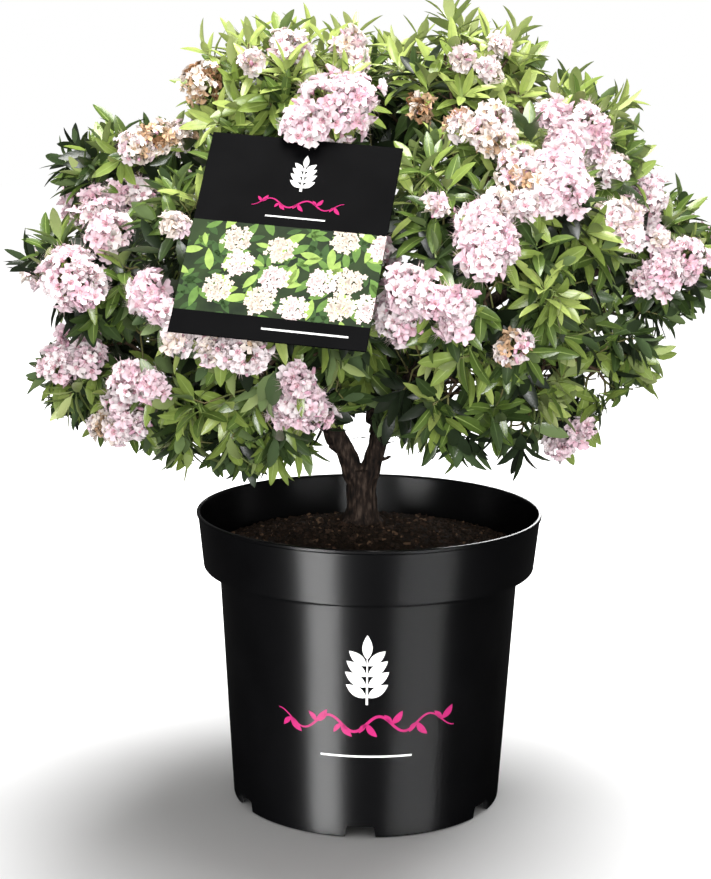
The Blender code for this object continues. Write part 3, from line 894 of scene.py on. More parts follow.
# shares of the noise, from the cracks to the ridges, and the colour of each
BARK_COLOURS = [(0.34, (0.0045, 0.0030, 0.0025)), (0.52, (0.026, 0.016, 0.0115)), (0.70, (0.085, 0.060, 0.046))]
bark, tree, shader = new_material("bark_dark")
place = add_node(tree, "TexCoord").outputs["Object"]
drawn = add_node(tree, "Mapping", {"Vector": place, "Scale": (1.0, 1.0, 0.28)}).outputs["Vector"]
fibre = add_node(tree, "TexNoise", {"Vector": drawn, "Scale": 430.0, "Detail": 6.0}).outputs["Fac"]
ramp = add_node(tree, "ValToRGB", {"Fac": fibre})
ramp.color_ramp.elements.new(0.52)
for element, (share, colour) in zip(ramp.color_ramp.elements, BARK_COLOURS):
    element.position = share
    element.color = (*colour, 1.0)
bump = add_node(tree, "Bump", {"Height": fibre, "Distance": 0.6 * MM})
feed(shader, {"Roughness": 0.85, "Specular IOR Level": 0.25})
feed(shader, {"Base Color": ramp.outputs["Color"], "Normal": bump.outputs["Normal"]})

# %% Lines of the trunk and the boughs
trunk_line = []
trunk_radii = []
for i in range(15):
    share = i / 14
    height = share * TRUNK_LENGTH
    lean = np.array((-0.8, -1.0, 0.0)) * MM * (3 * share**2 - 2 * share**3)
    trunk_line.append(TRUNK_FOOT + lean + UP * (height - 0.25 * MM))
    flare = 4.2 * MM * math.exp(-height / (6.0 * MM))
    fork = 1.2 * MM * math.exp(-(TRUNK_LENGTH - height) / (9.0 * MM))
    trunk_radii.append(TRUNK_RADIUS + flare + fork)
trunk_top = trunk_line[-1]

# where each bough stands on the trunk, the bend in it, its tip, and its radius at foot and tip, in millimetres
BOUGHS = {
    "left": ((-5.6, -2.2), (-14.6, 2.5, 236.0), (-26.2, 2.0), 7.4, 5.6),
    "right": ((5.6, -2.2), (4.8, 2.5, 238.0), (9.0, 1.0), 6.9, 5.3),
    "back": ((3.5, 6.5), (4.5, 19.0, 238.0), (4.0, 33.0), 4.4, 3.5),
    "side": ((-10.5, 1.0), (-28.0, 0.8, 242.5), (-29.5, 1.0), 3.4, 2.9),
}
limb_blocks = [tube_along(trunk_line, trunk_radii, 24)]
bough_tips = {}
for name, (stand, bend, tip, thick, thin) in BOUGHS.items():
    foot = trunk_top + np.array((*stand, 0.0)) * MM
    root = trunk_top + (foot - trunk_top) * 0.35 - UP * 9 * MM
    foot = foot - UP * 3 * MM
    if name == "side":
        root = trunk_top + np.array((-8.0, -1.0, 7.0)) * MM
        foot = trunk_top + np.array((-14.5, -1.5, 12.5)) * MM
    bend_place = np.array(bend) * MM
    end = np.array((*tip, CROWN_UNDERSIDE_Z / MM)) * MM
    line = [root, root * 0.5 + foot * 0.5]
    line += [(1 - s) ** 2 * foot + 2 * s * (1 - s) * bend_place + s**2 * end for s in np.linspace(0.0, 1.0, 10)]
    limb_blocks.append(tube_along(line, np.linspace(thick, thin, len(line)) * MM, 18))
    bough_tips[name] = (end, unit(end - line[-3]))

# short dead stubs where twigs were cut, and the thin shoots that cross under the crown, in millimetres
STUBS = [
    ((-16.0, 1.0, 234.0), (-27.0, -2.0, 239.0), 1.8, 1.2),
    ((6.0, 2.0, 229.0), (14.0, -3.0, 232.5), 1.7, 1.1),
    ((9.0, 0.0, 240.0), (22.0, -8.0, 247.0), 0.9, 0.5),
    ((-12.0, 2.0, 243.0), (6.0, -4.0, 248.5), 0.7, 0.45),
    ((-13.0, 3.0, 228.0), (-19.0, 8.0, 231.0), 1.6, 1.0),
]
for start, end, thick, thin in STUBS:
    line = np.linspace(start, end, 5) * MM
    line[2, 2] -= 0.8 * MM
    limb_blocks.append(tube_along(line, np.linspace(thick, thin, 5) * MM, 8))
limbs = joined("limbs_bark", limb_blocks, bark)

# %% One skin and its relief

modified(limbs, "REMESH", mode="VOXEL", voxel_size=0.75 * MM, use_smooth_shade=True)
modified(limbs, "SMOOTH", factor=0.5, iterations=3)
limbs.data.update()
pushes = []
for corner in limbs.data.vertices:
    place = corner.co
    height = (place.z - TRUNK_FOOT[2]) / MM
    drawn = Vector((place.x * 330.0, place.y * 330.0, place.z * 75.0))
    ridges = abs(noise.noise(drawn)) * 2.0 - 0.45
    grain = noise.noise(Vector((place.x * 900.0, place.y * 900.0, place.z * 300.0)))
    knots = noise.noise(place * 95.0)
    angle = math.atan2(place.y - TRUNK_FOOT[1], place.x - TRUNK_FOOT[0])
    roots = max(0.0, math.cos(3.0 * angle + 0.6)) * 2.6 * math.exp(-max(0.0, height) / 5.0)
    thick = 1.0 - 0.45 * min(1.0, max(0.0, (height - 28.0) / 30.0))
    pushes.append(corner.normal * ((ridges * 0.75 + grain * 0.28 + knots * 0.8) * thick + roots) * MM)
for corner, push in zip(limbs.data.vertices, pushes):
    if corner.co.z > TRUNK_FOOT[2] - 0.05 * MM:
        corner.co += push
    corner.co.z = max(corner.co.z, TRUNK_FOOT[2] - 0.2 * MM)
finish_piece(limbs, "bark", "trunk", "bough_left", "bough_right", "bough_back", "bough_side")

# %% [markdown]
# ## Where the shoots end
#
# A rhododendron carries its leaves in whorls at the ends of its shoots, and its flowers in round heads there.
# The masses of the solid model give the crown's surface, so shoot ends are spread over their outer sides, a
# finger's width apart. Those that would end inside a neighbouring mass or in the card are left out. More shoots
# end deeper in, in the shade.

# %% Surfaces of the masses and the card's place

MASSES = sorted(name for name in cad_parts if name.startswith("mass_"))
surfaces = {}
for name in MASSES:
    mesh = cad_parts[name].data
    surfaces[name] = BVHTree.FromPolygons(
        [corner.co.copy() for corner in mesh.vertices], [tuple(face.vertices) for face in mesh.polygons]
    )

CARD_WIDTH = 110.0 * MM
CARD_HEIGHT = 130.8 * MM
CARD_THICKNESS = 1.0 * MM
CARD_CENTRE = Vector((-47.0, -190.0, 392.2)) * MM
CARD_TURN = Euler([math.radians(angle) for angle in (-35.6, 8.5, -5.0)], "ZYX")
card_frame = Matrix.Translation(CARD_CENTRE) @ CARD_TURN.to_matrix().to_4x4()
card_inverse = np.array(card_frame.inverted())


def on_card(points):
    """Points in the card's own frame: X right, Y into the foliage, Z up."""
    points = np.asarray(points)
    return points @ card_inverse[:3, :3].T + card_inverse[:3, 3]


def depth_in(name, point):
    """How deep a point lies inside a mass; negative outside it."""
    place, normal, _, distance = surfaces[name].find_nearest(point)
    return -distance if (point - place).dot(normal) > 0 else distance


def is_outer(point, normal, own):
    """Whether a point on a mass looks out of the crown, and isn't pressed against a neighbour."""
    ahead = point + normal * 6 * MM
    return all(depth_in(other, ahead) < -3 * MM for other in MASSES if other != own)


def surface_points(rng, spacing):
    """Evenly spread points on the outer sides of all masses, each with the outward direction there."""
    kept = np.zeros((0, 3))
    ways = []
    for name in MASSES:
        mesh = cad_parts[name].data
        faces = [[mesh.vertices[i].co for i in face.vertices] for face in mesh.polygons]
        areas = np.array([face.area for face in mesh.polygons])
        tries = int(6 * areas.sum() / spacing**2)
        for index in rng.choice(len(faces), tries, p=areas / areas.sum()):
            a, b = sorted(rng.uniform(0.0, 1.0, 2))
            first, second, third = faces[index]
            point = first * a + second * (b - a) + third * (1 - b)
            if len(kept) and np.min(np.sum((kept - np.array(point)) ** 2, axis=1)) < spacing**2:
                continue
            normal = mesh.polygons[index].normal
            if is_outer(point, normal, name):
                kept = np.vstack([kept, point])
                ways.append(np.array(normal))
    return kept, np.array(ways)


def over_card(local, margin):
    """Which points, in the card's own frame, lie before or behind the card, with a margin round it."""
    beside_middle = np.abs(local[..., 0]) < CARD_WIDTH / 2 + margin
    return beside_middle & (np.abs(local[..., 2]) < CARD_HEIGHT / 2 + margin)


# %% Where the photograph shows sky

# pixel and radius in pixels of each gap in the crown, and of each bay in its outline
OPEN_PLACES = [
    (22, 305, 30), (6, 334, 26), (30, 326, 14), (632, 416, 18), (615, 430, 14), (640, 400, 9), (352, 446, 6),
    (338, 443, 8), (326, 437, 6), (488, 294, 4), (499, 303, 5), (596, 276, 4), (546, 371, 5), (452, 388, 6),
    (516, 425, 5), (590, 380, 7), (603, 384, 6), (357, 432, 9), (364, 420, 6), (476, 432, 5), (612, 320, 4),
    (404, 30, 7), (130, 100, 16), (158, 98, 12), (548, 447, 6), (395, 452, 6), (385, 462, 5),
]
to_camera = np.array(camera.matrix_world.inverted())


def in_picture(points):
    """Pixels of the photograph at which the camera sees points."""
    seen_from = np.asarray(points) @ to_camera[:3, :3].T + to_camera[:3, 3]
    flat = seen_from[..., :2] / -seen_from[..., 2:] * FOCAL_PIXELS
    return np.stack([PICTURE_WIDTH / 2 + flat[..., 0], PICTURE_HEIGHT / 2 - flat[..., 1]], axis=-1)


def in_open_place(points, margin=0.0):
    """Which points are seen in one of the gaps."""
    pixels = in_picture(points)
    hit = np.zeros(pixels.shape[:-1], bool)
    for x, y, radius in OPEN_PLACES:
        hit |= np.hypot(pixels[..., 0] - x, pixels[..., 1] - y) < radius + margin
    return hit


# %% Flower heads that the photograph shows

# pixel of each head's middle, its radius in millimetres, and how it has aged
HEADS = [
    (328, 108, 22, "fresh"), (304, 126, 15, "fresh"), (354, 98, 15, "fresh"), (198, 78, 14, "spent"),
    (286, 43, 11, "pale"), (350, 40, 10, "pale"), (252, 60, 7, "pale"), (300, 47, 8, "pale"),
    (358, 53, 9, "pale"),
    (490, 66, 8, "pale"), (462, 58, 7, "pale"), (500, 43, 6, "pale"), (136, 143, 12, "fading"),
    (160, 136, 12, "spent"), (183, 133, 10, "fading"), (99, 206, 17, "fresh"), (107, 228, 14, "fresh"),
    (141, 195, 11, "pale"), (120, 201, 13, "fresh"), (174, 222, 7, "pale"), (72, 274, 20, "fresh"),
    (84, 290, 13, "fresh"), (146, 290, 14, "fresh"), (158, 308, 9, "fresh"), (175, 336, 10, "pale"),
    (246, 350, 14, "pale"), (214, 347, 11, "pale"), (75, 337, 13, "fresh"), (88, 353, 12, "fresh"),
    (56, 362, 12, "fresh"), (130, 377, 13, "fresh"), (150, 383, 9, "fresh"), (128, 402, 15, "fresh"),
    (118, 428, 12, "pale"), (101, 427, 9, "fading"), (136, 424, 9, "pale"), (299, 382, 11, "fresh"),
    (302, 404, 16, "fresh"), (283, 412, 9, "fresh"), (319, 412, 10, "fresh"), (384, 300, 12, "fresh"),
    (406, 291, 15, "fresh"), (398, 317, 14, "fresh"), (430, 300, 10, "fresh"), (456, 302, 10, "fresh"),
    (452, 325, 9, "fresh"), (515, 347, 11, "fading"), (479, 215, 12, "fresh"), (498, 205, 11, "pale"),
    (486, 234, 17, "fresh"), (481, 256, 14, "fresh"), (504, 245, 9, "fresh"), (525, 204, 8, "pale"),
    (553, 112, 11, "fresh"), (586, 122, 15, "fresh"), (592, 140, 12, "fresh"), (568, 140, 13, "fresh"),
    (600, 155, 9, "pale"), (519, 165, 12, "fading"), (536, 181, 12, "fading"), (567, 184, 16, "fresh"),
    (560, 160, 13, "fresh"), (546, 198, 10, "fresh"), (460, 121, 9, "fading"), (480, 130, 10, "fading"),
    (497, 117, 10, "fading"), (496, 140, 10, "fading"), (614, 168, 9, "pale"), (650, 198, 17, "fresh"),
    (626, 208, 12, "fresh"), (640, 222, 10, "fresh"), (655, 236, 9, "pale"), (685, 258, 15, "fresh"),
    (664, 272, 14, "fresh"), (644, 281, 10, "pale"), (560, 447, 9, "fresh"), (582, 432, 8, "fresh"),
    (420, 108, 9, "spent"), (436, 205, 6, "pale"), (228, 300, 9, "pale"),
]
# the first of them hang over the upper edge of the card, in front of its hook
BEFORE_CARD = 3
HEAD_SPACING = 62 * MM
CAMERA_POINT = np.array(CAMERA_PLACE)


def seen_surface(x, y):
    """Where the camera sees the crown at a pixel, or else the crown's point nearest to that sight line."""
    direction = sight_line(x, y)
    hits = [surfaces[name].ray_cast(CAMERA_PLACE, direction) for name in MASSES]
    if all(hit[0] is None for hit in hits):
        points = [CAMERA_PLACE + direction * step for step in np.linspace(1.05, 1.5, 46)]
        hits = [surfaces[name].find_nearest(point) for point in points for name in MASSES]
    place, normal, _, _ = min((hit for hit in hits if hit[0] is not None), key=lambda hit: hit[3])
    return np.array(place), np.array(normal)


head_rng = dice(2)
heads = []
for number, (x, y, radius, age) in enumerate(HEADS):
    back = -np.array(sight_line(x, y))
    place, normal = seen_surface(x, y)
    if number < BEFORE_CARD:
        origin, way = on_card([CAMERA_POINT, CAMERA_POINT - back])
        place = CAMERA_POINT - back * ((-9 * MM - origin[1]) / (way[1] - origin[1]))
        normal = back
    axis = unit(0.50 * normal + 0.55 * back + 0.22 * UP)
    radius *= MM
    sideways = axis - back * axis.dot(back)
    centre = place - back * radius * 0.45 - sideways * radius * 0.4
    heads.append((centre, axis, radius, age))
spots, ways = surface_points(head_rng, HEAD_SPACING)
for spot, way in zip(spots, ways):
    hidden_from_camera = way.dot(unit(CAMERA_POINT - spot)) < -0.08 and not in_open_place(spot, 16.0)
    apart = min(np.linalg.norm(spot - head[0]) for head in heads) > HEAD_SPACING * 0.8
    if hidden_from_camera and apart and way[2] > -0.45:
        radius = head_rng.uniform(13.0, 19.0) * MM
        axis = unit(way + 0.35 * UP + head_rng.normal(0.0, 0.12, 3))
        age = str(head_rng.choice(["fresh", "pale", "fading", "spent"], p=[0.56, 0.22, 0.16, 0.06]))
        centre = spot - axis * radius * 0.55
        heads.append((centre, axis, radius, age))
        aside = unit(np.cross(axis, head_rng.normal(0.0, 1.0, 3)))
        beside = centre + aside * radius * 0.95 - axis * radius * 0.2
        heads.append((beside, unit(axis + 0.4 * aside), radius * 0.7, age))
print("flower heads:", len(heads), "of which seen in the photograph:", len(HEADS))

# %% Shoot ends

SHOOT_SPACING = 17.0 * MM
INNER_SPACING = 32.0 * MM
# clear space round flower heads and behind the card
ROUND_HEADS = 2.0 * MM
BEHIND_CARD = 22.0 * MM
# noise below this leaves a thin place in the crown
THIN_BELOW = -0.20

shoot_rng = dice(3)
shoots = []
spots, ways = surface_points(shoot_rng, SHOOT_SPACING)
local = on_card(spots)
clear = ~over_card(local, 2 * MM) | (local[:, 1] > BEHIND_CARD)
spots, ways = spots[clear], ways[clear]
head_centres = np.array([head[0] for head in heads])
head_radii = np.array([head[2] for head in heads])
for spot, way in zip(spots, ways):
    from_heads = np.linalg.norm(head_centres - (spot - way * 8 * MM), axis=1) - head_radii
    if from_heads.min() < ROUND_HEADS:
        continue
    thin = noise.noise(Vector(spot * 24.0))
    if thin < THIN_BELOW or in_open_place(spot, 4.0):
        continue
    lift = 0.55 if way[2] > -0.15 else 0.12
    axis = unit(way + lift * UP + shoot_rng.normal(0.0, 0.20, 3))
    depth = (shoot_rng.uniform(8.0, 20.0) + 9.0 * max(0.0, 0.25 - thin)) * MM
    shoots.append({"place": spot - way * depth, "axis": axis, "out": way, "kind": "outer"})
outer_count = len(shoots)
spots, ways = surface_points(shoot_rng, INNER_SPACING)
for spot, way in zip(spots, ways):
    depth = shoot_rng.uniform(34.0, 52.0) * MM
    axis = unit(way + 0.25 * UP + shoot_rng.normal(0.0, 0.35, 3))
    place = spot - way * depth
    if max(depth_in(name, Vector(place)) for name in MASSES) > 20 * MM:
        shoots.append({"place": place, "axis": axis, "out": way, "kind": "inner"})
# hanging and outstanding sprays in the outline, at a pixel, each with the direction in which it points
LONE_SPRAYS = [
    (170, 448, (-0.2, -0.2, -1.0)), (184, 452, (0.2, -0.1, -1.0)), (176, 440, (0.0, -0.3, -1.0)),
    (228, 448, (0.1, -0.2, -1.0)), (277, 444, (0.0, -0.2, -1.0)), (62, 402, (-0.7, -0.1, -0.8)),
    (632, 92, (0.9, -0.1, 0.5)), (618, 108, (1.0, 0.0, 0.1)), (526, 22, (0.4, 0.0, 1.0)),
    (200, 48, (-0.7, 0.0, 0.7)), (646, 340, (0.9, -0.1, -0.5)), (640, 392, (1.0, -0.1, -0.25)),
    (655, 350, (1.0, 0.0, -0.3)), (612, 398, (1.0, -0.1, -0.15)), (620, 404, (1.0, 0.0, -0.45)),
    (668, 322, (1.0, -0.1, -0.05)), (525, 456, (0.1, -0.1, -1.0)), (460, 452, (0.0, -0.1, -1.0)),
    (285, 62, (0.1, -0.3, 1.0)), (280, 30, (0.0, 0.0, 1.0)), (355, 26, (0.1, 0.0, 1.0)),
    (60, 165, (-1.0, 0.0, 0.2)), (70, 140, (-0.8, 0.0, 0.6)),
]
for x, y, way in LONE_SPRAYS:
    place, normal = seen_surface(x, y)
    shoots.append({"place": place - normal * 5 * MM, "axis": unit(way), "out": normal, "kind": "outer"})
for centre, axis, radius, age in heads:
    shoots.append({"place": centre - axis * radius * 0.95, "axis": axis, "out": axis, "kind": "head"})
print("shoots:", len(shoots), "of which outer", outer_count, "and in heads", len(heads))

# %% [markdown]
# ## Growing the branches
#
# Each bough is given the shoots of its side of the crown. From its tip it grows part of the way towards their
# middle and forks there into two groups of shoots. Each half does the same, until a twig serves one shoot. A
# limb's thickness follows from the number of shoots that it feeds, as in a real tree.

# %% Share the shoots among the boughs

BOUGH_SIDES = {
    "left": np.array((-0.10, -0.07, 0.40)),
    "right": np.array((0.11, -0.04, 0.40)),
    "back": np.array((0.0, 0.15, 0.38)),
    "side": np.array((-0.15, 0.02, 0.30)),
}
TWIG_RADIUS = 0.62 * MM
PIPE_POWER = 0.42

places = np.array([shoot["place"] for shoot in shoots])
axes = np.array([shoot["axis"] for shoot in shoots])
nearness = np.stack([np.linalg.norm(places - middle, axis=1) for middle in BOUGH_SIDES.values()], axis=1)
nearness[:, 3] *= 1.35
served_by = nearness.argmin(axis=1)
grow_rng = dice(4)
edges = []


def halves(group, fork):
    """Split a group of shoots in two, across the direction in which they are spread widest."""
    around = unit(places[group] - fork) + (places[group] - fork) * 6.0
    spread = around - around.mean(axis=0)
    widest = np.linalg.svd(spread, full_matrices=False)[2][0]
    order = np.argsort(spread @ widest)
    cut = int(round(len(group) * grow_rng.uniform(0.36, 0.64)))
    cut = min(max(cut, 1), len(group) - 1)
    return group[order[:cut]], group[order[cut:]]


def grow(start, heading, group):
    """Grow one bough's branches as a list of edges, from thick to thin."""
    waiting = [(start, heading, group)]
    while waiting:
        start, heading, group = waiting.pop()
        if len(group) == 1:
            index = group[0]
            edges.append((start, heading, places[index], axes[index], 1, 1))
            continue
        middle = places[group].mean(axis=0)
        way = middle - start
        reach = np.linalg.norm(way)
        step = reach * grow_rng.uniform(0.30, 0.46)
        fork = start + way / max(reach, 1e-6) * step + heading * step * 0.28
        fork = fork + grow_rng.normal(0.0, 0.06, 3) * step + UP * step * 0.05
        onward = unit(fork - start)
        first, second = halves(group, fork)
        edges.append((start, heading, fork, onward, len(group), max(len(first), len(second))))
        for part in (first, second):
            towards = unit(places[part].mean(axis=0) - fork)
            waiting.append((fork, unit(0.55 * onward + 0.75 * towards), part))


for number, name in enumerate(BOUGH_SIDES):
    tip, heading = bough_tips[name]
    grow(tip - heading * 2 * MM, heading, np.flatnonzero(served_by == number))
print("edges grown:", len(edges))

# %% Make the branches and twigs

starts, start_ways, ends, end_ways = (np.array([edge[i] for edge in edges], float) for i in range(4))
served = np.array([edge[4] for edge in edges], float)
served_after = np.array([edge[5] for edge in edges], float)
start_radii = TWIG_RADIUS * served**PIPE_POWER
end_radii = np.where(served == 1, TWIG_RADIUS * 0.85, TWIG_RADIUS * served_after**PIPE_POWER)
thick = start_radii > 1.7 * MM
young = served <= 2
TWIG_BROWNS = ((0.060, 0.036, 0.022), (0.115, 0.075, 0.045))
TWIG_GREENS = ((0.16, 0.19, 0.055), (0.20, 0.16, 0.07))
twig_brown = material_of("twig_brown", *TWIG_BROWNS, 0.75, 160.0, (900.0, 0.0002), 0.3)
twig_green = material_of("twig_green", *TWIG_GREENS, 0.6, 120.0, (900.0, 0.0001), 0.35)


def branch_piece(name, chosen, sides, cuts, material, slot):
    """All branches of one class of thickness, as one piece."""
    chosen_edges = [row[chosen] for row in (starts, ends, start_ways, end_ways, start_radii, end_radii)]
    finish_piece(joined(name, [tubes(*chosen_edges, sides, cuts)], material), slot)


branch_piece("branches", thick, 9, 5, bark, "bark")
branch_piece("twigs_old", ~thick & ~young, 5, 4, twig_brown, "twigs")
branch_piece("twigs_young", young & ~thick, 4, 3, twig_green, "twigs")

# %% [markdown]
# ## Leaves
#
# A leaf is a narrow ellipse with a fine tip, folded a little along its midrib. It is modelled once from a small
# grid, whose rows are drawn in to the outline. Every copy gets its own length, width, fold and bend, so that
# each takes the light differently. Leaves sit round the shoot at the golden angle, the young ones upright, the
# old ones spread or drooping. The tints are plain colours, dealt out by spray, and they paint the crown's light
# and shade. Shoots that stand in the light are yellow-green, which at the top is also the young growth's own
# paler colour.
# Inside, round the middle and underneath, the tints are dark and dull as painted shade.
# Older leaves are a step darker in their own colour.

# %% Model one leaf and one midrib

LEAF_ROWS = [0.0, 0.10, 0.28, 0.52, 0.78, 0.92, 1.0]
LEAF_HALF_WIDTHS = [0.0, 0.16, 0.78, 1.0, 0.70, 0.34, 0.0]
RIB_LIFT = 0.10 * MM


def model_leaf():
    """A leaf one long and one wide, from a grid with its rows drawn in; the ends are merged to points."""
    rows = len(LEAF_ROWS) - 1
    leaf = added(bpy.ops.mesh.primitive_grid_add, x_subdivisions=2, y_subdivisions=rows, size=1.0)
    for corner in leaf.data.vertices:
        row = round((corner.co.y + 0.5) * rows)
        corner.co.x *= LEAF_HALF_WIDTHS[row]
        corner.co.y = LEAF_ROWS[row]
    return leaf


def model_rib():
    """The midrib: a narrow strip that tapers to the leaf's tip."""
    rib = added(bpy.ops.mesh.primitive_grid_add, x_subdivisions=1, y_subdivisions=4, size=1.0)
    for corner in rib.data.vertices:
        along = corner.co.y + 0.5
        corner.co.y = 0.01 + 0.90 * along
        corner.co.x *= 0.115 * (1.0 - 0.80 * along)
    return rib


def face_up(blade):
    """Points and triangles of a flat blade, all facing up."""
    recalculate(blade)
    points, faces = as_arrays(blade)
    corners = points[faces[0]]
    if np.cross(corners[1] - corners[0], corners[2] - corners[0])[2] < 0:
        faces = faces[:, ::-1]
    return points, faces


leaf_points, leaf_faces = face_up(model_leaf())
rib_points, rib_faces = face_up(model_rib())
print("leaf:", len(leaf_faces), "triangles; midrib:", len(rib_faces))

# %% Set out every leaf

GOLDEN = math.pi * (3.0 - math.sqrt(5.0))
leaf_rng = dice(5)
CROWN_TALL = cad_bounds[1].z - CROWN_UNDERSIDE_Z
# the belt round the crown's middle gets painted shade, as shares of the crown's height: its middle and its
# reach
SHADED_BELT_HEIGHT = 0.52
SHADED_BELT_REACH = 0.30
# least painted light for each tint but the last, as negative numbers, from the brightest tint to the darkest
TINT_STEPS = [-0.66, -0.47, -0.29, -0.10]
# what adds to a shoot's light, painted into its leaves as light and shade: a share for all, its place in the
# crown, the way it looks out, and chance
LIGHT = {
    "all": 0.46, "top": 0.27, "belt": -0.21, "upward": 0.10, "below": -0.12, "inner": -0.42, "chance": 0.21,
}


def height_of(shoot):
    """Height of a shoot in the crown, from 0 at its underside to 1 at its top."""
    return (shoot["place"][2] - CROWN_UNDERSIDE_Z) / CROWN_TALL


def brightness_of(shoot):
    """How much light a shoot gets, painted into its leaves' tints, from 0 in the shade to 1 at the top, with
    some chance in it.
    """
    top = min(1.0, max(0.0, (height_of(shoot) - 0.66) / 0.30))
    below = max(0.0, -shoot["out"][2] - 0.15)
    belt = max(0.0, 1.0 - abs(height_of(shoot) - SHADED_BELT_HEIGHT) / SHADED_BELT_REACH)
    light = LIGHT["all"] + LIGHT["top"] * top + LIGHT["belt"] * belt
    light += LIGHT["upward"] * shoot["out"][2] + LIGHT["below"] * below
    light += leaf_rng.normal(0.0, LIGHT["chance"])
    return light + (LIGHT["inner"] if shoot["kind"] == "inner" else 0.0)


# for each kind of shoot: fewest leaves and one above the most, lean of the youngest and oldest in degrees, and
# the chance in it
LEAF_HABITS = {"outer": (10, 15, 14, 80, 8), "inner": (7, 10, 40, 100, 13), "head": (6, 9, 70, 112, 8)}
# in millimetres: shortest and longest leaf, how much shorter the youngest are, and the length of leafy stem
LEAF_LENGTHS = (20.0, 28.0)
YOUNG_SHORTER = 11.0
LEAFY_STEM = 15.0
INNER_LONGER = 1.15
# width as a share of the length, in the light and in the shade, and its chance
NARROW = (0.27, 0.32)
WIDTH_CHANCE = (0.85, 1.15)
leaf_rows = []
for shoot in shoots:
    light = brightness_of(shoot)
    axis = shoot["axis"]
    side = unit(np.cross(axis, leaf_rng.normal(0.0, 1.0, 3)))
    other = np.cross(axis, side)
    fewest, most, young_lean, old_lean, chance = LEAF_HABITS[shoot["kind"]]
    count = leaf_rng.integers(fewest, most)
    narrow = NARROW[0] if light > 0.62 else NARROW[1]
    hanging = min(1.0, max(0.0, 0.34 - height_of(shoot)) / 0.34)
    for k in range(count):
        age = (k + leaf_rng.uniform(0.0, 0.8)) / count
        lean = math.radians(young_lean + (old_lean - young_lean) * age**0.75 + leaf_rng.normal(0.0, chance))
        turn = k * GOLDEN + leaf_rng.normal(0.0, 0.18)
        outward = side * math.cos(turn) + other * math.sin(turn)
        droop = (0.06 + 0.26 * age) * (1.0 if light < 0.5 else 0.45) + 0.32 * hanging
        along = unit(axis * math.cos(lean) + outward * math.sin(lean) - UP * droop)
        square = axis * math.sin(lean) - outward * math.cos(lean)
        upper = unit(square + 0.55 * UP + leaf_rng.normal(0.0, 0.16, 3))
        length = (leaf_rng.uniform(*LEAF_LENGTHS) - YOUNG_SHORTER * max(0.0, 0.35 - age)) * MM
        if shoot["kind"] == "inner":
            length *= INNER_LONGER
        foot = shoot["place"] - axis * (0.5 + LEAFY_STEM * age**1.3) * MM
        bend = leaf_rng.uniform(0.05, 0.60) + 0.35 * age
        fold = leaf_rng.uniform(0.10, 0.42) * (1.25 - 0.6 * age)
        # a leaf's tint follows its shoot's painted light and shade, and older leaves are darker in their own
        # colour
        brightness = light + 0.10 - 0.26 * age + leaf_rng.normal(0.0, 0.06)
        width = length * narrow * leaf_rng.uniform(*WIDTH_CHANCE)
        tint = np.searchsorted(TINT_STEPS, -brightness)
        leaf_rows.append((foot, along, upper, length, width, bend, fold, tint))
feet, alongs, uppers, lengths, widths, bends, folds, tints = (np.array(column) for column in zip(*leaf_rows))
print("leaves set out:", len(leaf_rows))


def shaped(points, chosen, lift=0.0):
    """Copies of a flat blade, each with its own length and width, folded, bent and put in its place."""
    across = points[None, :, 0] * widths[chosen, None]
    along = points[None, :, 1]
    raised = np.abs(across) * np.tan(folds[chosen, None]) + lift
    angle = bends[chosen, None] * along
    reach = lengths[chosen, None] / bends[chosen, None]
    forward = reach * np.sin(angle) + raised * np.sin(angle)
    upward = raised * np.cos(angle) - reach * (1 - np.cos(angle))
    blade = np.stack([across, forward, upward], axis=-1)
    turning = facing(alongs[chosen], uppers[chosen])
    return np.einsum("nij,nkj->nki", turning, blade) + feet[chosen, None]


# %% Leave out what would pass through the card, a flower head or a gap

BEYOND_BOX = 9 * MM
every_leaf = shaped(leaf_points, np.arange(len(leaf_rows)))
local = on_card(every_leaf.reshape(-1, 3)).reshape(every_leaf.shape)
at_card = (local[..., 1] < 1.6 * MM) & (local[..., 1] > -40 * MM)
through_card = (over_card(local, 1 * MM) & at_card).any(axis=1)
in_head = np.zeros(len(every_leaf), bool)
for centre, axis, radius, age in heads:
    in_head |= (np.linalg.norm(every_leaf - centre, axis=2) < radius * 0.93).mean(axis=1) > 0.30
low, high = (np.array(corner) for corner in cad_bounds)
beyond = ((every_leaf < low - BEYOND_BOX) | (every_leaf > high + BEYOND_BOX)).any(axis=(1, 2))
kept = ~(through_card | in_head | beyond | in_open_place(every_leaf).any(axis=1))
print("left out at the card", through_card.sum(), "in heads", in_head.sum(), "beyond the box", beyond.sum())

# %% Leaf materials and pieces


def leaf_material(name, upper, under, roughness):
    """A leathery leaf: plain colour above with a faint mottle, paler and duller below."""
    darker = tuple(0.82 * value for value in upper)
    material = material_of(name, upper, darker, roughness, 260.0, (700.0, 0.00012), 0.75)
    tree = material.node_tree
    back = add_node(tree, "NewGeometry").outputs["Backfacing"]
    colours = {"Factor": back, "A": tree.nodes["tint"].outputs["Colour"], "B": (*under, 1.0)}
    sides = add_node(tree, "Mix", colours, data_type="RGBA")
    feed(tree.nodes["Principled BSDF"], {"Base Color": sides.outputs["Result"]})
    return material
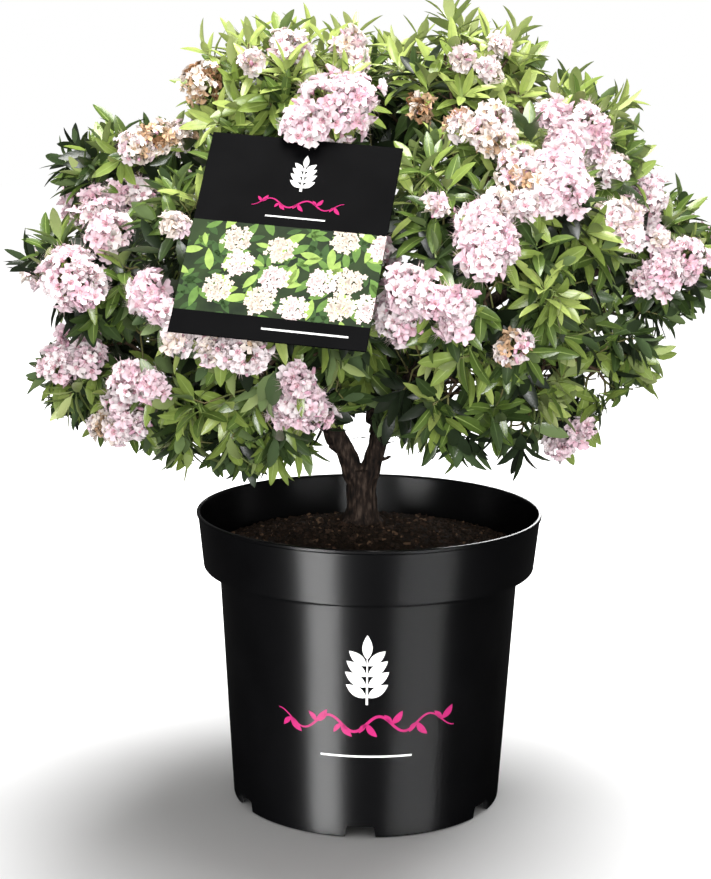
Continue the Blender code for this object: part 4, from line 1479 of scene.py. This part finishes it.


# lit and shaded copies of one leaf, from painted light to painted shade: name, slot, upper and under colours,
# roughness
LEAF_TINTS = [
    ("bright", "leaves_light", (0.425, 0.520, 0.140), (0.48, 0.55, 0.23), 0.30),
    ("fresh", "leaves_light", (0.245, 0.335, 0.068), (0.33, 0.41, 0.15), 0.29),
    ("green", "leaves_mid", (0.112, 0.180, 0.034), (0.20, 0.28, 0.11), 0.28),
    ("deep", "leaves_mid", (0.044, 0.078, 0.020), (0.09, 0.14, 0.06), 0.30),
    ("shade", "leaves_dark", (0.014, 0.024, 0.010), (0.035, 0.055, 0.026), 0.36),
]
# midribs are pale on the three lit tints and dull on the shaded one, as painted light and shade; the darkest
# tint has none
rib_pale = material_of("midrib_pale", (0.36, 0.46, 0.14), (0.30, 0.42, 0.11), 0.5, 200.0)
rib_dull = material_of("midrib_dull", (0.105, 0.165, 0.055), (0.085, 0.135, 0.045), 0.5, 200.0)
for number, (name, slot, upper, under, roughness) in enumerate(LEAF_TINTS):
    block = repeated(shaped(leaf_points, np.flatnonzero(kept & (tints == number))), leaf_faces)
    piece = joined(f"leaves_{name}", [block], leaf_material(f"leaf_{name}", upper, under, roughness))
    finish_piece(piece, slot, *MASSES)
for name, numbers, slot, material in (
    ("pale", (0, 1, 2), "leaves_light", rib_pale), ("dull", (3,), "leaves_mid", rib_dull),
):
    block = repeated(shaped(rib_points, np.flatnonzero(kept & np.isin(tints, numbers)), RIB_LIFT), rib_faces)
    finish_piece(joined(f"midribs_{name}", [block], material), slot)

# %% [markdown]
# ## Blossom
#
# A head holds ten to fifty small flowers on thin stalks, packed into a dome. One flower is a shallow funnel
# with five waved lobes. It is modelled from a circle of twenty points, extruded inwards twice and drawn down to
# the throat. The throat's own faces are a deeper pink, and fine stamens stand in it.

# %% Model one flower


def model_flower():
    """A flower one in radius, opening along Z: an outer ring of lobes, a middle ring and a deep centre."""
    flower = added(bpy.ops.mesh.primitive_circle_add, vertices=20, radius=1.0, fill_type="NOTHING")
    bpy.ops.object.mode_set(mode="EDIT")
    bpy.ops.mesh.select_all(action="SELECT")
    bpy.ops.mesh.extrude_edges_move()
    bpy.ops.transform.resize(value=(0.34, 0.34, 1.0), center_override=(0.0, 0.0, 0.0))
    bpy.ops.transform.translate(value=(0.0, 0.0, -0.34))
    bpy.ops.mesh.extrude_edges_move()
    bpy.ops.mesh.merge(type="CENTER")
    bpy.ops.mesh.select_all(action="SELECT")
    bpy.ops.object.mode_set(mode="OBJECT")
    for corner in flower.data.vertices:
        reach = corner.co.xy.length
        if reach < 0.01:
            corner.co.z = -0.85
        elif reach > 0.9:
            place = math.atan2(corner.co.y, corner.co.x) / (math.tau / 5)
            from_lobe = abs(place - round(place)) * 2
            size = 1.10 - 0.50 * max(0.0, from_lobe - 0.40) / 0.60
            corner.co.x *= size
            corner.co.y *= size
            corner.co.z = 0.20 * from_lobe - 0.06
    recalculate(flower)
    return as_arrays(flower)


flower_points, flower_faces = model_flower()
face_reach = np.linalg.norm(flower_points[flower_faces][:, :, :2], axis=2)
inner_faces = face_reach.min(axis=1) < 0.01
petal_faces, throat_faces = flower_faces[~inner_faces], flower_faces[inner_faces]
print("flower:", len(petal_faces), "petal and", len(throat_faces), "throat triangles")


def model_bud():
    """A closed bud: a small sphere drawn long, thinner at its foot."""
    bud = added(bpy.ops.mesh.primitive_uv_sphere_add, segments=6, ring_count=5, radius=1.0)
    for corner in bud.data.vertices:
        corner.co.x *= 0.36 + 0.08 * corner.co.z
        corner.co.y *= 0.36 + 0.08 * corner.co.z
    return as_arrays(bud)


# a stamen is a thin cone from the throat outwards
STAMENS = 4
stamen = added(
    bpy.ops.mesh.primitive_cone_add,
    vertices=3, radius1=0.045, radius2=0.0, depth=1.75, location=(0.0, 0.0, 0.45),
)
settle(stamen)
stamen_shape = as_arrays(stamen)

# %% Set out the flowers of every head

# for each age of a head: its tints, the odds of each, and how far its flowers open
AGES = {
    "fresh": (["pink", "pale", "rose"], [0.52, 0.38, 0.10], 1.00),
    "pale": (["pink", "pale", "cream"], [0.10, 0.60, 0.30], 0.95),
    "fading": (["pale", "cream", "tan", "pink"], [0.26, 0.42, 0.16, 0.16], 0.92),
    "spent": (["cream", "tan", "brown"], [0.40, 0.40, 0.20], 0.80),
}
# fewest flowers in a head, and how many more for a square metre of its squared radius
FEWEST_FLOWERS = 8
FLOWERS_BY_AREA = 9.8e4
# least and greatest scale of a flower, in millimetres
FLOWER_SIZES = (4.7, 6.1)
BUD_ODDS = 0.07
DOME_DEPTH = 1.32
FRESH_TINTS = ["pink", "pale", "rose"]
FADED_TINTS = ["cream", "tan", "brown"]
flower_rng = dice(6)
flowers = {tint: [] for tint in FRESH_TINTS + FADED_TINTS}
buds = []
stalks = []
for centre, axis, radius, age in heads:
    names, odds, openness = AGES[age]
    side = unit(np.cross(axis, flower_rng.normal(0.0, 1.0, 3)))
    other = np.cross(axis, side)
    foot = centre - axis * radius * 0.85
    count = int(FEWEST_FLOWERS + FLOWERS_BY_AREA * radius**2)
    for k in range(count):
        drop = (k + 0.5) / count * DOME_DEPTH
        around = k * GOLDEN + flower_rng.normal(0.0, 0.12)
        flat = math.sqrt(max(0.0, 1.0 - (1.0 - drop) ** 2))
        way = axis * (1.0 - drop) + (side * math.cos(around) + other * math.sin(around)) * flat
        swell = noise.noise(Vector(way * 1.6 + centre * 40.0))
        reach = radius * (flower_rng.uniform(0.66, 1.06) + 0.30 * swell)
        place = centre + way * reach
        size = flower_rng.uniform(*FLOWER_SIZES) * MM * openness
        out = unit(way + 0.15 * UP + flower_rng.normal(0.0, 0.30, 3))
        local = on_card(place)
        if over_card(local, size) and abs(local[1]) < size * 1.1:
            continue
        stalks.append((foot, place - out * size * 0.75, unit(way + axis), out))
        if flower_rng.uniform() < BUD_ODDS:
            buds.append((place - out * size * 0.3, out, size * 0.62, 0.0, 1.0))
            continue
        tint = str(flower_rng.choice(names, p=odds))
        spin = flower_rng.uniform(0.0, math.tau)
        flowers[tint].append((place, out, size, spin, flower_rng.uniform(0.75, 1.35)))
print("flowers:", {tint: len(rows) for tint, rows in flowers.items()}, "buds:", len(buds))


def beside(outs):
    """Two directions square to the way that flowers open."""
    helper = unit(np.cross(outs, np.array((0.31, 0.52, 0.79))))
    return helper, np.cross(outs, helper)


def bloom(rows, shape, crumple=0.0):
    """A block of copies of a flower part, each turned, sized and ruffled in its own way."""
    points, faces = shape
    places, outs, sizes, spins, depths = (np.array(column) for column in zip(*rows))
    helper, second = beside(outs)
    x = helper * np.cos(spins)[:, None] + second * np.sin(spins)[:, None]
    turning = np.stack([x, np.cross(outs, x), outs], axis=-1)
    shapes = points[None] * sizes[:, None, None]
    shapes[..., 2] *= depths[:, None]
    shapes = shapes + flower_rng.normal(0.0, 1.0, shapes.shape) * sizes[:, None, None] * crumple
    return repeated(np.einsum("nij,nkj->nki", turning, shapes) + places[:, None], faces)


def used_points(points, faces):
    """Only the points that some triangles use, and the triangles counted anew."""
    used, again = np.unique(faces, return_inverse=True)
    return points[used], again.reshape(faces.shape)


# %% Blossom materials and pieces

# for each tint: its slot, its two colours, and how ruffled its petals are
PETALS = {
    "pink": ("blossom", (0.91, 0.690, 0.765), (0.94, 0.78, 0.83), 0.055),
    "pale": ("blossom", (0.95, 0.835, 0.86), (0.96, 0.89, 0.895), 0.055),
    "rose": ("blossom", (0.86, 0.54, 0.65), (0.90, 0.65, 0.73), 0.055),
    "cream": ("spent_blossom", (0.86, 0.75, 0.67), (0.89, 0.80, 0.74), 0.09),
    "tan": ("spent_blossom", (0.60, 0.38, 0.22), (0.68, 0.48, 0.32), 0.13),
    "brown": ("spent_blossom", (0.25, 0.12, 0.055), (0.36, 0.20, 0.10), 0.16),
}
throat_pink = material_of("throat_pink", (0.74, 0.40, 0.50), (0.80, 0.52, 0.58), 0.6, 300.0, None, 0.3)
throat_dull = material_of("throat_dull", (0.58, 0.42, 0.28), (0.66, 0.50, 0.36), 0.7, 300.0, None, 0.2)
bud_pink = material_of("bud_pink", (0.72, 0.36, 0.50), (0.80, 0.50, 0.60), 0.5, 300.0, None, 0.35)
stamen_cream = material_of("stamen_cream", (0.90, 0.76, 0.74), (0.84, 0.60, 0.60), 0.6, 900.0)
petal_shape = used_points(flower_points, petal_faces)
throat_shape = used_points(flower_points, throat_faces)
for tint, (slot, first, second, crumple) in PETALS.items():
    material = material_of(f"petal_{tint}", first, second, 0.55, 330.0, (1200.0, 0.0001), 0.3)
    finish_piece(joined(f"petals_{tint}", [bloom(flowers[tint], petal_shape, crumple)], material), slot)
fresh_rows = [row for tint in FRESH_TINTS for row in flowers[tint]]
faded_rows = [row for tint in FADED_TINTS for row in flowers[tint]]
finish_piece(joined("throats_fresh", [bloom(fresh_rows, throat_shape)], throat_pink), "blossom")
finish_piece(joined("throats_faded", [bloom(faded_rows, throat_shape)], throat_dull), "spent_blossom")
finish_piece(joined("buds", [bloom(buds, model_bud(), 0.02)], bud_pink), "blossom")

stamen_rows = []
for place, out, size, spin, depth in fresh_rows:
    helper, second = beside(out)
    for k in range(STAMENS):
        angle = spin + k * math.tau / STAMENS
        way = unit(out + 0.34 * (helper * math.cos(angle) + second * math.sin(angle)))
        stamen_rows.append((place - out * size * 0.25, way, size, 0.0, 1.0))
finish_piece(joined("stamens", [bloom(stamen_rows, stamen_shape)], stamen_cream), "blossom")

STALK_RADIUS = 0.33 * MM
stalk_lines = [np.array(column) for column in zip(*stalks)]
stalk_radii = np.full(len(stalks), STALK_RADIUS)
stalk_block = tubes(*stalk_lines, stalk_radii, stalk_radii * 1.3, 3, 3)
finish_piece(joined("flower_stalks", [stalk_block], twig_green), "twigs")

# %% [markdown]
# ## Label
#
# A stiff card hangs in front of the crown from a black plastic hook. The card is a plate with slightly rounded
# edges. Its print is a plain design made for this plant: a strip of simple blossom and leaves between two black
# fields, a white sprig, a magenta tendril and two white rules. Each printed shape is a thin flat mesh on the
# card's face; the strip's leaves and blossom are cut off at its edges.

# %% Card

card_black = material_of(
    "card_black", (0.0024, 0.0024, 0.0027), (0.0040, 0.0040, 0.0044), 0.40, 30.0, (1500.0, 0.00002), 0.008
)
card_white = ink("card_white", (0.85, 0.85, 0.84), (0.80, 0.80, 0.79))
card_magenta = ink("card_magenta", (0.42, 0.010, 0.13), (0.36, 0.008, 0.11))

card = added(bpy.ops.mesh.primitive_cube_add, size=1.0)
card.name = "label_sheet"
card.scale = (CARD_WIDTH, CARD_THICKNESS, CARD_HEIGHT)
settle(card)
modified(card, "BEVEL", width=0.3 * MM, segments=2)
card.data.materials.append(card_black)
card.matrix_world = card_frame
finish_piece(card, "card", "label_card")

# %% Print on the card

LAYER = 0.05 * MM
STRIP_LOW = -50.8 * MM
STRIP_HIGH = 7.0 * MM


def card_print(name, outlines, layer, material, cut=False):
    """Flat shapes on the card's face, one thin layer above another, cut off at the strip's edges or not."""
    piece = flat_piece(name, outlines, material)
    if cut:
        sides = [((x, 0, 0), (math.copysign(1, x), 0, 0)) for x in (-half, half)]
        sides += [((0, 0, STRIP_LOW), (0, 0, -1)), ((0, 0, STRIP_HIGH), (0, 0, 1))]
        edit(piece, *(
            (bpy.ops.mesh.bisect, {"plane_co": place, "plane_no": normal, "clear_outer": True})
            for place, normal in sides
        ))
    piece.matrix_world = card_frame @ Matrix.Translation((0.0, -CARD_THICKNESS / 2 - LAYER * layer, 0.0))
    finish_piece(piece, "card")


def flat_flower(size):
    """Outlines of five plain petals round a middle."""
    return [placed(flat_leaf(size, size * 0.72, steps=5), (0.0, 0.0), k * math.tau / 5) for k in range(5)]


def scaled(colour, share):
    """A colour made brighter or darker by a share."""
    return tuple(share * value for value in colour)


card_rng = dice(7)
half = CARD_WIDTH / 2 - 0.15 * MM
strip = [[(-half, STRIP_LOW), (half, STRIP_LOW), (half, STRIP_HIGH), (-half, STRIP_HIGH)]]
strip_green = ink("strip_green", (0.007, 0.014, 0.006), (0.024, 0.044, 0.013), waves=60.0)
card_print("label_strip", strip, 1, strip_green)
STRIP_LEAVES = {"dark": (0.030, 0.065, 0.018), "mid": (0.085, 0.160, 0.035), "light": (0.215, 0.310, 0.075)}
for number, (name, colour) in enumerate(STRIP_LEAVES.items()):
    shapes = []
    for _ in range(64 - 14 * number):
        spot = (card_rng.uniform(-half, half), card_rng.uniform(STRIP_LOW, STRIP_HIGH))
        length = card_rng.uniform(8.0, 15.0) * MM
        shapes.append(placed(flat_leaf(length, length * 0.36, steps=6), spot, card_rng.uniform(0.0, math.tau)))
    leaf_ink = ink(f"strip_leaf_{name}", colour, scaled(colour, 1.35), waves=300.0)
    card_print(f"label_leaves_{name}", shapes, 2 + number, leaf_ink, cut=True)

# %% Blossom on the card

CLUSTERS = 13
CLUSTER_FLOWERS = 30
CLUSTER_RADIUS = 8.4 * MM
CLUSTER_SPACING = 14.5 * MM
spots = []
while len(spots) < CLUSTERS:
    across = card_rng.uniform(-half * 0.8, half)
    spot = np.array((across, card_rng.uniform(STRIP_LOW + 4 * MM, STRIP_HIGH - 3 * MM)))
    if all(np.linalg.norm(spot - other) > CLUSTER_SPACING for other in spots):
        spots.append(spot)
STRIP_BLOOM = [("cream", (0.74, 0.63, 0.54), spots[:7]), ("blush", (0.83, 0.66, 0.66), spots[7:])]
for number, (name, colour, chosen) in enumerate(STRIP_BLOOM):
    shapes = []
    for spot in chosen:
        for k in range(CLUSTER_FLOWERS):
            away = CLUSTER_RADIUS * math.sqrt(k / CLUSTER_FLOWERS) * card_rng.uniform(0.85, 1.1)
            place = (spot[0] + away * math.cos(k * GOLDEN), spot[1] + away * math.sin(k * GOLDEN))
            shapes += [placed(petal, place, k * 1.3) for petal in flat_flower(card_rng.uniform(1.7, 2.2) * MM)]
    bloom_ink = ink(f"strip_bloom_{name}", colour, scaled(colour, 0.72), waves=420.0)
    card_print(f"label_bloom_{name}", shapes, 5 + number, bloom_ink, cut=True)

# %% White and magenta print on the card

# half the length of each rule, its width, and its place on the card, in millimetres
RULES = [(17, 0.9, (2.0, 13.0)), (24, 1.1, (20.0, -58.0))]
white_shapes = [placed(outline, (2.0 * MM, 30.5 * MM)) for outline in sprig(16 * MM, 8.8 * MM, 4)]
for reach, width, (x, z) in RULES:
    rule = flat_ribbon([(-reach * MM, 0.0), (reach * MM, 0.0)], [width * MM] * 2)
    white_shapes.append(placed(rule, (x * MM, z * MM)))
card_print("label_white_print", white_shapes, 7, card_white)
wavy = tendril(52 * MM, 2.6 * MM, 2.5, 1.0 * MM, 5.6 * MM)
magenta_shapes = [placed(outline, (2.0 * MM, 22.0 * MM)) for outline in wavy]
card_print("label_magenta_print", magenta_shapes, 7, card_magenta)

# %% Hook

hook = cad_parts["label_hook"]
hook.data.materials.clear()
HOOK_BLACKS = ((0.010, 0.010, 0.011), (0.018, 0.018, 0.019))
hook.data.materials.append(material_of("hook_black", *HOOK_BLACKS, 0.36, 60.0, (1500.0, 0.00003), 0.10))
print("hook: material given")
